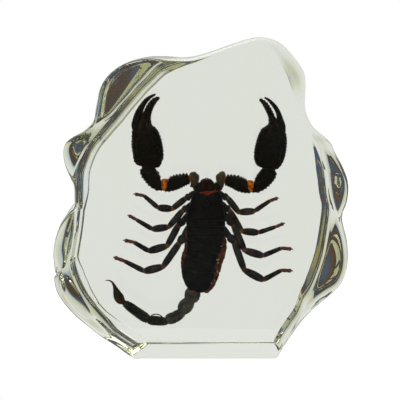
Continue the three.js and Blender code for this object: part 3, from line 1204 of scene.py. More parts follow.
LEFT_ARM = Arm(
    side=Side.LEFT,
    base=((0.9, 79.6, 2.3, 2.2, 1.6), (-0.9, 81.6, 2.3, 2.4, 1.3), (-2.3, 83.4, 1.8, 2.2, 1)),
    ring=(
        (-0.5, 84.8, 1.2, 1.8, 0.4), (-1.4, 85.1, 2.4, 2.4, 0.2), (-3, 85.5, 3.25, 2.7, 0),
        (-4.2, 85.8, 3.3, 2.6, 0), (-4.9, 85.7, 2.7, 2.2, 0),
    ),
    upper=(
        (-4.9, 85.9, 2.1, 2.1, 0), (-7.3, 85.4, 2.5, 2.5, -0.2), (-9.4, 84.8, 2.9, 2.9, -0.3),
        (-11.8, 84, 3.1, 3, -0.4), (-14, 83.2, 2.9, 2.8, -0.4), (-15.9, 82.8, 2.6, 2.4, -0.4),
    ),
    fold=((-14, 83.2, 2.3, 2.1, -0.4), (-16.2, 83.1, 2.85, 2.4, -0.4), (-18.6, 83.3, 2.3, 2.2, -0.4)),
    lower=(
        (-17.5, 83.1, 2.3, 2.3, -0.4), (-19.3, 83.5, 2.85, 2.9, -0.4), (-21, 84.9, 3.25, 3.4, -0.4),
        (-22.8, 87.2, 3.5, 3.6, -0.4), (-24.2, 89.4, 3.5, 3.3, -0.4), (-25.1, 91.8, 2.8, 2.5, -0.4),
    ),
    hand=(
        (-24, 91.2, 3.6, 2.2, -0.3), (-23.9, 92.1, 4.9, 3, -0.3), (-23.9, 93.4, 5.8, 3.6, -0.3),
        (-24, 95.2, 6.6, 4.3, -0.3), (-24.1, 98, 6.85, 4.7, -0.3), (-24.6, 101.6, 6.85, 4.9, -0.3),
        (-25.1, 105.2, 6.45, 4.7, -0.3), (-25.8, 108.7, 5.4, 4.2, -0.3), (-25.9, 111, 4.4, 3.6, -0.3),
        (-25.3, 113.3, 2.8, 2.9, -0.3), (-24.3, 116.2, 1.7, 2.2, -0.3), (-23.1, 119.2, 1.4, 1.85, -0.3),
        (-21.6, 121.6, 1.15, 1.4, -0.3), (-20, 123.1, 0.8, 0.9, -0.3), (-18.4, 123.9, 0.3, 0.4, -0.3),
    ),
    finger=(
        (-29, 108, 2, 2.2, -0.3), (-29.1, 111, 2.35, 2.8, -0.3), (-28.7, 113.8, 2.05, 2.4, -0.3),
        (-27.9, 117, 1.6, 2, -0.3), (-26.4, 120.1, 1.15, 1.6, -0.3), (-24.6, 122.5, 0.9, 1.3, -0.3),
        (-22.6, 124.2, 0.6, 0.9, -0.3), (-20.2, 125.4, 0.25, 0.4, -0.3),
    ),
    spur=((-20.3, 88.2), (-18.9, 89.4)),
)
RIGHT_ARM = Arm(
    side=Side.RIGHT,
    base=((6.2, 79.6, 2.3, 2.2, 1.6), (8, 81.6, 2.3, 2.4, 1.3), (9.4, 83.4, 1.8, 2.2, 1)),
    ring=(
        (7.6, 84.8, 1.2, 1.8, 0.4), (8.5, 85.1, 2.4, 2.4, 0.2), (10, 85.5, 3.25, 2.7, 0),
        (11.3, 85.5, 3.3, 2.6, 0), (12, 85.4, 2.7, 2.2, 0),
    ),
    upper=(
        (11.8, 85.3, 2.1, 2.1, 0), (14.2, 84.8, 2.5, 2.5, -0.2), (16.4, 84.2, 2.9, 2.9, -0.3),
        (18.8, 83.2, 3.1, 3, -0.4), (21.2, 82.5, 2.9, 2.8, -0.4), (23, 82.1, 2.6, 2.4, -0.4),
    ),
    fold=((21, 82.6, 2.3, 2.1, -0.4), (23.2, 82.3, 2.85, 2.4, -0.4), (25.6, 82.4, 2.3, 2.2, -0.4)),
    lower=(
        (24.5, 82.1, 2.3, 2.3, -0.4), (26.4, 82.5, 2.85, 2.9, -0.4), (28.3, 83.9, 3.3, 3.4, -0.4),
        (30.2, 86, 3.65, 3.6, -0.4), (31.9, 88.4, 3.6, 3.3, -0.4), (33.1, 90.8, 2.8, 2.5, -0.4),
    ),
    hand=(
        (32, 90.3, 3, 2.2, -0.3), (32.1, 91.1, 4.2, 3, -0.3), (32.15, 92.2, 5.3, 3.6, -0.3),
        (32.15, 94, 6.35, 4.2, -0.3), (32.2, 96.3, 6.9, 4.6, -0.3), (32.6, 99.3, 7.1, 4.9, -0.3),
        (33.1, 102.2, 6.9, 4.8, -0.3), (33.55, 105.2, 6.5, 4.7, -0.3), (33.9, 107.5, 5.8, 4.4, -0.3),
        (34.2, 109.9, 4.6, 3.8, -0.3), (34, 111.9, 2.9, 3.2, -0.3), (33.2, 113.9, 1.5, 2.6, -0.3),
        (32.4, 116.2, 1.12, 2.1, -0.3), (31.4, 118.2, 1.08, 1.8, -0.3), (30.2, 120.2, 1, 1.5, -0.3),
        (28.9, 121.8, 0.7, 1, -0.3), (27.2, 123.2, 0.3, 0.4, -0.3),
    ),
    finger=(
        (37, 107, 2.2, 2.3, -0.3), (37.1, 110.4, 2.25, 2.8, -0.3), (36.8, 113.4, 1.5, 2.4, -0.3),
        (36.1, 116.3, 1.05, 1.9, -0.3), (34.9, 118.8, 0.92, 1.6, -0.3), (33.2, 121, 0.74, 1.3, -0.3),
        (31.2, 122.9, 0.48, 0.8, -0.3), (29.4, 123.95, 0.22, 0.4, -0.3),
    ),
    spur=((27.6, 86.8), (26.3, 88.2)),
)


@dataclass
class Leg:
    """One walking leg, from the middle of the underside to its two small claws.

    Attributes:
        name: Name of the piece.
        joints: [x, z] of the claw tip, the top of the foot, the knee, the hip joint, the ring
            and the place where it leaves the body.
        root: [x, z] of its base piece's inner end on the underside.
        girth: Factor on its half widths.
        seed: Seed of its grains and bristles.
    """

    name: str
    joints: Sequence[tuple[float, float]]
    root: tuple[float, float]
    girth: float = 1.0
    seed: int = 1

    # y of each joint, and pairs of share along a segment and share of its half width.
    HEIGHTS = (0.2, 0.1, -0.4, -0.8, -0.2, 0.9)
    TOE = ((0, 0.75), (0.3, 1.05), (0.75, 0.9), (1, 0.75))
    FOOT = ((0, 0.7), (0.25, 0.95), (0.7, 0.9), (1, 0.85))
    SHIN = ((0, 0.82), (0.2, 0.92), (0.6, 1.05), (0.85, 1.1), (1, 0.9))
    KNEE = ((0, 0.68), (0.18, 0.95), (0.42, 1.08), (0.7, 1.02), (0.9, 0.85), (1, 0.72))
    THIGH = ((0, 0.78), (0.15, 0.95), (0.45, 1.02), (0.8, 1.0), (1, 0.82))
    RING = ((0, 0.75), (0.3, 1.0), (0.8, 1.05), (1, 0.8))

    def rows(
        self, start: int, end: int, cut: tuple[float, float], profile: Sequence[Row], wide: float
    ) -> list[Row]:
        """Sections of one segment.

        Args:
            start: Joint that it starts from.
            end: Joint that it runs to.
            cut: Shares of the stretch that it covers.
            profile: Pairs of share along the segment and share of its half width.
            wide: Half width in mm.

        Returns:
            Rows for a run.
        """
        a = np.array([*self.joints[start], self.HEIGHTS[start]])
        b = np.array([*self.joints[end], self.HEIGHTS[end]])
        rows = []
        for share, part in profile:
            x, z, y = a + (b - a) * (cut[0] + (cut[1] - cut[0]) * share)
            w = wide * part * self.girth
            rows.append((x, z, w, 0.82 * w, y))
        return rows

    def build(self) -> bpy.types.Object:
        """Makes the leg as one piece.

        Returns:
            The new object, linked to the scene.
        """
        hide = Hide()
        seed = self.seed
        fine = Pebbles(0.7, 0.07, seed)

        def grains(along: np.ndarray, angle: np.ndarray) -> np.ndarray:
            """Fine grains with a weak ridge along both edges."""
            edge = Keel(0.0, 0.3, 0.1, 0.8, 0.7)(along, angle)
            other = Keel(math.pi, 0.3, 0.1, 0.8, 0.7)(along, angle)
            return fine(along, angle, 8) + edge + other

        # Joints at both ends, shares covered, profile, half width, points round, rust, bristles.
        for index, (start, end, cut, profile, wide, around, rust, hairs) in enumerate((
            (0, 1, (0.03, 0.5), self.TOE, 0.78, 18, 0.9, 16),
            (0, 1, (0.42, 0.99), self.FOOT, 0.8, 18, 0.75, 12),
            (1, 2, (0.0, 0.98), self.SHIN, 1.0, 22, self.ends, 24),
            (2, 3, (-0.02, 0.97), self.KNEE, 1.6, 32, self.ends, 20),
            (3, 4, (0.03, 0.98), self.THIGH, 1.42, 30, self.ends, 18),
            (4, 5, (-0.06, 0.5), self.RING, 1.6, 28, 0.0, 8),
        )):
            run = Run(self.rows(start, end, cut, profile, wide), around, 0.3, (0.35, 0.35))
            hide.carry(run, grains, 0.0, rust, hairs, 0.8, seed + index)
        for joint, wide in ((1, 0.72), (2, 0.92), (3, 1.12), (4, 1.2)):
            before, after = np.array(self.joints[joint - 1]), np.array(self.joints[joint + 1])
            here = np.array(self.joints[joint])
            low = here + 0.9 * (before - here) / np.linalg.norm(before - here)
            high = here + 0.9 * (after - here) / np.linalg.norm(after - here)
            y = self.HEIGHTS[joint]
            w = wide * self.girth
            skin = [
                (*low, 0.8 * w, 0.7 * w, y),
                (*here, w, 0.85 * w, y),
                (*high, 0.85 * w, 0.75 * w, y),
            ]
            hide.carry(Run(skin, 18, 0.25, (0.4, 0.4)), None, 1.0)
        (hx, hz), (rx, rz) = self.joints[4], self.root
        bx, bz = self.joints[5]
        base = [
            (hx + 0.35 * (bx - hx), hz + 0.35 * (bz - hz), 1.3, 1.1, 0.4),
            (bx, bz, 1.9, 1.5, 2.2),
            ((bx + rx) / 2, (bz + rz) / 2, 1.9, 1.3, 3.4),
            (rx, rz, 1.2, 0.9, 3.9),
        ]
        hide.carry(Run(base, 28, 0.4, (0.8, 0.8), 2.4), grains, 0.0, 0.0, 6, 0.7, seed + 6)
        self.claws(hide)
        return hide.build(self.name)

    @staticmethod
    def ends(share: np.ndarray, _angle: np.ndarray) -> np.ndarray:
        """Reddish share at a segment's two ends."""
        return 0.55 * (np.clip(1 - share / 0.12, 0, 1) + np.clip((share - 0.86) / 0.14, 0, 1))

    def claws(self, hide: Hide) -> None:
        """Adds the two hooked claws at the tip, side by side in depth.

        Args:
            hide: Piece that they are added to.
        """
        tip, back = np.array(self.joints[0]), np.array(self.joints[1])
        way = (tip - back) / np.linalg.norm(tip - back)
        down = np.array([0.0, -1.0])
        # Distance past the tip, drop and half width of each section, in mm.
        hook = ((-0.5, 0.0, 0.26), (0.1, -0.1, 0.22), (0.5, 0.12, 0.14), (0.7, 0.5, 0.05))
        for y in (-0.45, 0.65):
            rows = []
            for ahead, drop, wide in hook:
                x, z = tip + way * ahead + down * drop
                rows.append((x, z, wide, wide, y))
            hide.carry(Run(rows, 8, 0.25, (0.1, 0.1)), None, 0.0, 0.9)

    def dress(self) -> None:
        """Builds the leg and hands it in with its finish."""
        dress_shells([(self.build(), LEG_FINISH)])


LEGS = (
    Leg(
        "leg_left_1",
        ((-30.7, 78.5), (-26.3, 77.7), (-19.7, 71.9), (-12.9, 71.5), (-6.5, 76.7), (-3, 78)),
        (1.4, 76), 1.0, 41,
    ),
    Leg(
        "leg_left_2",
        ((-33.7, 68.1), (-30.1, 66.1), (-22.5, 61.5), (-14.7, 62.7), (-7.9, 70.8), (-4, 72.5)),
        (1.2, 73), 1.0, 53,
    ),
    Leg(
        "leg_left_3",
        ((-36, 55.8), (-31.5, 54.9), (-24.3, 50.6), (-15.5, 53.3), (-10, 63.8), (-5, 67.8)),
        (1, 70), 1.08, 61,
    ),
    Leg(
        "leg_left_4",
        ((-41, 47.4), (-36.2, 45.6), (-26.6, 40.6), (-17.6, 43), (-9.6, 54.9), (-5.4, 61)),
        (1, 67.4), 1.12, 73,
    ),
    Leg(
        "leg_right_1",
        ((36.6, 76.6), (33, 75.4), (25.7, 70.3), (18.2, 69.8), (12.8, 77), (9, 78)),
        (4.4, 76), 1.0, 83,
    ),
    Leg(
        "leg_right_2",
        ((39.7, 64.2), (35.8, 62.5), (27.6, 59.8), (19.8, 60.6), (13.7, 70.9), (10, 73)),
        (4.6, 73), 1.0, 97,
    ),
    Leg(
        "leg_right_3",
        ((43.8, 51.6), (38.8, 52.1), (30, 48.4), (21.2, 51.2), (15.7, 64), (11, 68)),
        (4.6, 70), 1.08, 103,
    ),
    Leg(
        "leg_right_4",
        ((44, 40.8), (39, 41.1), (30.4, 36.3), (21.2, 41.4), (16.2, 55.5), (11.4, 60.4)),
        (4.6, 67.4), 1.12, 113,
    ),
)


@dataclass
class Head:
    """Head shield with its notch, eyes, jaws and the skin between them.

    Attributes:
        shield: Sections of the shield, from its back edge forward.
        notch: [x, depth, half width] of the notch in the shield's front edge.
        jaws_x: Places of the two jaws.
        jaw: Sections of one jaw, with x from its middle.
        plug: Sections of the mouth part between and behind the jaws.
        eye: [x, z] between the two large eyes.
    """

    shield: Sequence[Row] = (
        (2.7, 65.9, 8.8, 4.1, 0), (2.7, 66.8, 9.2, 4.6, 0), (2.9, 70, 8.6, 4.8, 0),
        (3.1, 73.3, 7.95, 4.6, 0), (3.2, 76, 7.4, 4.2, 0), (3.1, 78.2, 6.7, 3.7, 0),
        (3.1, 79.4, 6.1, 3.2, 0), (3.1, 80.2, 5.6, 2.8, 0),
    )
    notch: tuple[float, float, float] = (3.5, 2.0, 2.0)
    jaws_x: tuple[float, float] = (1.15, 5.05)
    jaw: Sequence[Row] = (
        (0, 78.6, 1.8, 1.9, -0.4), (0, 81, 2.15, 2.4, -0.7), (0.1, 82.8, 2, 2.4, -0.8),
        (0.55, 84.4, 1.45, 2, -0.7), (1.3, 85.9, 0.75, 1.3, -0.5),
    )
    plug: Sequence[Row] = (
        (3.1, 82, 2.6, 1.6, 0.8), (3.1, 84.4, 2, 1.3, 0.6), (3.1, 85.6, 0.9, 0.8, 0.4),
    )
    eye: tuple[float, float] = (2.95, 74.4)

    def cut_notch(self, points: np.ndarray) -> np.ndarray:
        """Draws the front edge back in a V at its middle, fading out before it meets the eyes.

        Args:
            points: Places of the shield's points in mm, shape (n, 3).

        Returns:
            The moved places.
        """
        x, depth, half = self.notch
        moved = points.copy()
        vee = np.clip(1 - np.abs(points[:, 0] - x) / half, 0, 1)
        reach = np.clip((points[:, 2] - 76.5) / 3.7, 0, 1) ** 1.5
        moved[:, 2] -= depth * vee * reach
        return moved

    @staticmethod
    def relief(along: np.ndarray, angle: np.ndarray) -> np.ndarray:
        """Relief of the shield.

        Args:
            along: Distance from the rear edge in mm.
            angle: Angle round the shield in radians.

        Returns:
            Height in mm: fine grains, a furrow down the middle between two swellings, and a
            raised rear edge.
        """
        back = turn_gap(angle, BACK)
        furrow = -0.55 * bell(back, 0.09) * np.clip(along / 4, 0, 1)
        swell = 0.25 * bell(np.abs(back) - 0.5, 0.3)
        rear = 0.25 * bell(along - 1.2, 0.5)
        return Pebbles(1.0, 0.1, 131)(along, angle, 46) + furrow + swell + rear

    def eyes(self, hide: Hide) -> None:
        """Adds the mound with the two large eyes, and three small ones at each front corner.

        Args:
            hide: Piece that they are added to.
        """
        x, z = self.eye
        mound = [(x, z - 1.6, 0.5, 0.7, -4.2), (x, z, 1.15, 1.0, -4.3), (x, z + 1.6, 0.5, 0.7, -4.1)]
        hide.carry(Run(mound, 24, 0.3, (0.5, 0.5)))
        for side in (-0.75, 0.75):
            rows = bead(x + side, z, 0.5, (0.3, 0.3, -5.0), (0.5, 0.45, -5.05))
            hide.carry(Run(rows, 16, 0.15, (0.3, 0.3)))
        for sign in (-1, 1):
            for step in range(3):
                corner = (x + sign * (4.6 + 0.35 * step), 79.0 - 0.75 * step)
                rows = bead(*corner, 0.25, (0.18, 0.2, -3.25), (0.26, 0.28, -3.3))
                hide.carry(Run(rows, 12, 0.15, (0.15, 0.15)))

    def build(self) -> list[tuple[bpy.types.Object, ShellFinish]]:
        """Makes the shield with its eyes, and the jaws with the skin behind them.

        Returns:
            The two pieces, each with its finish.
        """
        shield = Hide()
        run = Run(self.shield, 128, 0.3, (0.7, 0.4), 2.5, belly=0.35)
        shield.carry(run, self.relief, 0.0, self.edge_rust)
        shield.warp(self.cut_notch)
        self.eyes(shield)
        jaws = Hide()
        skin = [(3.1, 77.4, 5.6, 2.2, 0.1), (3, 79.6, 5.4, 2.8, -0.6), (2.9, 80.5, 4.7, 3, -0.7)]
        wrinkles = Pebbles(0.9, 0.2, 137).cover(30)
        jaws.carry(Run(skin, 64, 0.3, (0.8, 0.6), 2.4), wrinkles, 1.0)
        jaws.carry(Run(self.plug, 32, 0.3, (0.7, 0.6)))
        for index, x in enumerate(self.jaws_x):
            inward = 1 if index == 0 else -1
            rows = [(x + inward * r[0], *r[1:]) for r in self.jaw]
            knobs = Pebbles(1.1, 0.22, 139 + index).cover(13)
            jaws.carry(Run(rows, 40, 0.25, (0.7, 0.9)), knobs, 0.0, 0.1, 16, 0.7, 9 + index)
            claw = [
                (x + inward * 0.9, 84.4, 0.6, 0.8, 0), (x + inward * 1.4, 85.6, 0.45, 0.6, 0),
                (x + inward * 1.75, 86.5, 0.14, 0.2, 0),
            ]
            jaws.carry(Run(claw, 14, 0.25, (0.3, 0.2)), None, 0.0, 0.5)
        return [(shield.build("head_shield"), HEAD_FINISH), (jaws.build("jaws"), JAW_FINISH)]

    @staticmethod
    def edge_rust(share: np.ndarray, angle: np.ndarray) -> np.ndarray:
        """Reddish share along the shield's rear edge, toward its left side."""
        return 0.55 * bell(share - 0.02, 0.025) * np.clip(-np.cos(angle - 0.6), 0, 1)

    def dress(self) -> None:
        """Builds the head's pieces and hands them in with their finishes."""
        dress_shells(self.build())


@dataclass
class Trunk:
    """Hind body: skin of the flanks, seven back plates, five belly plates and the pair of combs.

    Attributes:
        flank: Sections of the soft body, from the tail forward.
        glints: [x, z, half width, half height] of small pale flakes on the right flank, painted
        glints that stand in for reflections there.
        plate_edges: z of the back plates' borders, from the head backward.
        plate_line: [z, x of the middle, half width] of the back plates.
        belly_edges: z of the belly plates' borders.
    """

    flank: Sequence[Row] = (
        (-2.2, 30.4, 2.4, 1.6, 0.2), (-1.9, 31.5, 4.3, 1.9, 0.2), (-0.85, 33.5, 6.6, 2.2, 0.1),
        (-0.25, 35.6, 7.8, 2.4, 0), (0, 37.7, 8.6, 2.5, 0), (0.2, 39.8, 9, 2.5, 0),
        (0.5, 42.8, 9.6, 2.6, 0), (0.9, 46.1, 9.8, 2.6, 0), (1.6, 48.2, 9.8, 2.6, 0),
        (2.5, 51.1, 9.9, 2.6, 0), (2.7, 54.4, 10, 2.6, 0), (2.4, 58.5, 9.3, 2.6, 0),
        (2.7, 63, 9, 2.6, 0), (2.8, 67, 8.6, 2.6, 0), (3, 71, 7.7, 2.5, 0),
        (3.1, 76, 6.4, 2.3, 0), (3.1, 79, 5, 2, 0),
    )
    glints: tuple[Row, ...] = (
        (10.1, 53.6, 0.8, 0.2), (8.4, 46.8, 0.85, 0.4), (8.6, 45.2, 0.45, 0.35),
        (8.3, 41, 0.25, 0.8), (7, 36.4, 0.3, 0.3), (5.6, 35, 0.35, 0.4),
    )
    plate_edges: tuple[float, ...] = (66.3, 63.4, 60, 55.8, 51.2, 46.4, 41, 30.9)
    plate_line: Sequence[tuple[float, float, float]] = (
        (30.2, -2.2, 2.4), (31.4, -2.1, 4.2), (33.5, -1.15, 6.4), (35.6, -1.05, 7.1), (37.7, -0.8, 7.7),
        (39.8, -0.65, 8), (42.8, -0.4, 8), (46.1, 0.1, 7.8), (48.2, 0.9, 7.8), (51.1, 1.6, 8),
        (54.4, 2.3, 8.6), (58.5, 2.7, 9), (62, 2.7, 9.2), (66.5, 2.8, 9.1),
    )
    belly_edges: tuple[float, ...] = (61.5, 56.5, 51, 45, 39, 31.2)

    def plate(self, front: float, rear: float, deep: float, back: bool) -> list[Row]:
        """Sections of one plate, from its rear edge forward, its rear edge standing a little proud.

        Args:
            front: z of its front edge.
            rear: z of its rear edge.
            deep: Half depth in mm.
            back: True on the back, False on the belly.

        Returns:
            Rows for a run.
        """
        line = np.asarray(self.plate_line, float)
        rows = []
        length = front - rear
        for share, lift in ((-0.04, 0.3), (0.12, 0.42), (0.45, 0.22), (0.8, 0.05), (1.03, -0.35)):
            z = rear + share * length
            x, wide = np.interp(z, line[:, 0], line[:, 1]), np.interp(z, line[:, 0], line[:, 2])
            half = wide + 0.25 * lift - (0.0 if back else 1.2)
            depth = (deep + lift) * float(np.clip((z - 30) / 8, 0.62, 1))
            rows.append((x, z, half, depth, 0.0 if back else 0.4))
        return rows

    @staticmethod
    def wrinkles(along: np.ndarray, angle: np.ndarray) -> np.ndarray:
        """Lumps with creases across the flank."""
        lumps = Pebbles(1.5, 0.28, 151)(along, angle, 50)
        return lumps - 0.16 * np.abs(np.sin(math.pi * along / 2.3)) ** 4

    @staticmethod
    def plate_relief(grains: Pebbles, length: float) -> Relief:
        """Relief of a back plate.

        Args:
            grains: Its fine grains.
            length: From its rear edge to its front edge, in mm.

        Returns:
            Height in mm: the grains, higher near the rear edge, a row of small knobs there, and
            a weak ridge along the middle.
        """

        def relief(along: np.ndarray, angle: np.ndarray) -> np.ndarray:
            """Sum of the grains, the ridge and the row."""
            ridge = 0.22 * bell(turn_gap(angle, BACK), 0.07)
            row = 0.1 * bell(along - 0.5, 0.35) * np.abs(np.sin(24 * angle))
            return grains(along, angle, 44) * (0.6 + 0.6 * bell(along, 0.4 * length)) + ridge + row

        return relief

    def soft_body(self) -> Hide:
        """Makes the skin of the flanks with its small pale flakes, which are painted glints.

        Returns:
            The gathered forms.
        """
        hide = Hide()
        hide.carry(Run(self.flank, 160, 0.35, (1.0, 1.0), 2.2), self.wrinkles, 0.9)
        for x, z, wide, high in self.glints:
            glint_flake = [
                (x, z - high, 0.6 * wide, 0.9, -2.1),
                (x, z, wide, 1.1, -2.2),
                (x, z + high, 0.5 * wide, 0.9, -2.1),
            ]
            # Each flake is a painted glint: mask 1 gives it the flank finish's pale colour, not reddish
            # shell.
            hide.carry(Run(glint_flake, 10, 0.15, (0.12, 0.12)), None, 0.0, 1.0)
        return hide

    def build(self) -> list[tuple[bpy.types.Object, ShellFinish]]:
        """Makes the soft body, the back plates, and the belly plates with the combs.

        Returns:
            The three pieces, each with its finish.
        """
        flank = self.soft_body()
        plates = Hide()
        for index, (front, rear) in enumerate(zip(self.plate_edges[:-1], self.plate_edges[1:])):
            run = Run(self.plate(front, rear, 4.6, True), 144, 0.3, (0.5, 0.5), 2.5, belly=0.3)
            relief = self.plate_relief(Pebbles(0.95, 0.09, 161 + index), front - rear)
            plates.carry(run, relief, 0.0, self.rear_rust, 8, 0.6, 171 + index)
        belly = Hide()
        for index, (front, rear) in enumerate(zip(self.belly_edges[:-1], self.belly_edges[1:])):
            run = Run(self.plate(front, rear, 4.5, False), 112, 0.4, (0.5, 0.5), 2.5)
            bumps = Pebbles(1.3, 0.05, 181 + index).cover(40)
            belly.carry(run, bumps, 0.0, self.rear_rust, 8, 0.7, 191 + index)
        self.breast(belly)
        self.combs(belly)
        return [
            (flank.build("flank_skin"), FLANK_FINISH),
            (plates.build("back_plates"), BODY_FINISH),
            (belly.build("belly_plates"), BELLY_FINISH),
        ]

    @staticmethod
    def rear_rust(share: np.ndarray, _angle: np.ndarray) -> np.ndarray:
        """Reddish share along a plate's rear edge."""
        return 0.05 * bell(share, 0.06)

    @staticmethod
    def breast(hide: Hide) -> None:
        """Adds the small breast plate and the two flaps behind it.

        Args:
            hide: Piece that they are added to.
        """
        plate = [
            (3, 65.4, 0.6, 0.5, 4.3), (3, 67, 1.3, 0.7, 4.3), (3, 69.2, 1.2, 0.7, 4.3),
            (3, 71, 0.5, 0.5, 4.2),
        ]
        hide.carry(Run(plate, 24, 0.3, (0.4, 0.4)), None, 0.0, 0.4)
        for x in (2.25, 3.75):
            flap = [(x, 62.8, 0.7, 0.5, 4.6), (x, 63.8, 0.9, 0.6, 4.7), (x, 64.9, 0.7, 0.5, 4.5)]
            hide.carry(Run(flap, 24, 0.25, (0.4, 0.4)), None, 0.0, 0.5)

    @staticmethod
    def combs(hide: Hide) -> None:
        """Adds the two combs: a bent stem with a row of fourteen small teeth along its rear edge.

        Args:
            hide: Piece that they are added to.
        """
        teeth = 14
        for sign in (-1, 1):
            stem = [
                (3 + sign * 0.8, 64.4, 0.6, 0.45, 4.7), (3 + sign * 2.6, 63.2, 0.7, 0.5, 4.9),
                (3 + sign * 5, 60.8, 0.65, 0.45, 4.8), (3 + sign * 7, 58.2, 0.4, 0.35, 4.3),
            ]
            hide.carry(Run(stem, 20, 0.3, (0.4, 0.4)), None, 0.0, 0.8)
            for tooth in range(teeth):
                share = (tooth + 0.5) / teeth
                x, z, y = (np.interp(share, [0, 0.35, 0.7, 1], [r[c] for r in stem]) for c in (0, 1, 4))
                rows = [
                    (x, z, 0.22, 0.3, y), (x - sign * 0.5, z - 0.8, 0.24, 0.3, y + 0.1),
                    (x - sign * 1.0, z - 1.7, 0.2, 0.22, y + 0.05),
                ]
                hide.carry(Run(rows, 10, 0.35, (0.2, 0.2)), None, 0.0, 1.0)

    def dress(self) -> None:
        """Builds the trunk's pieces and hands them in with their finishes."""
        dress_shells(self.build())


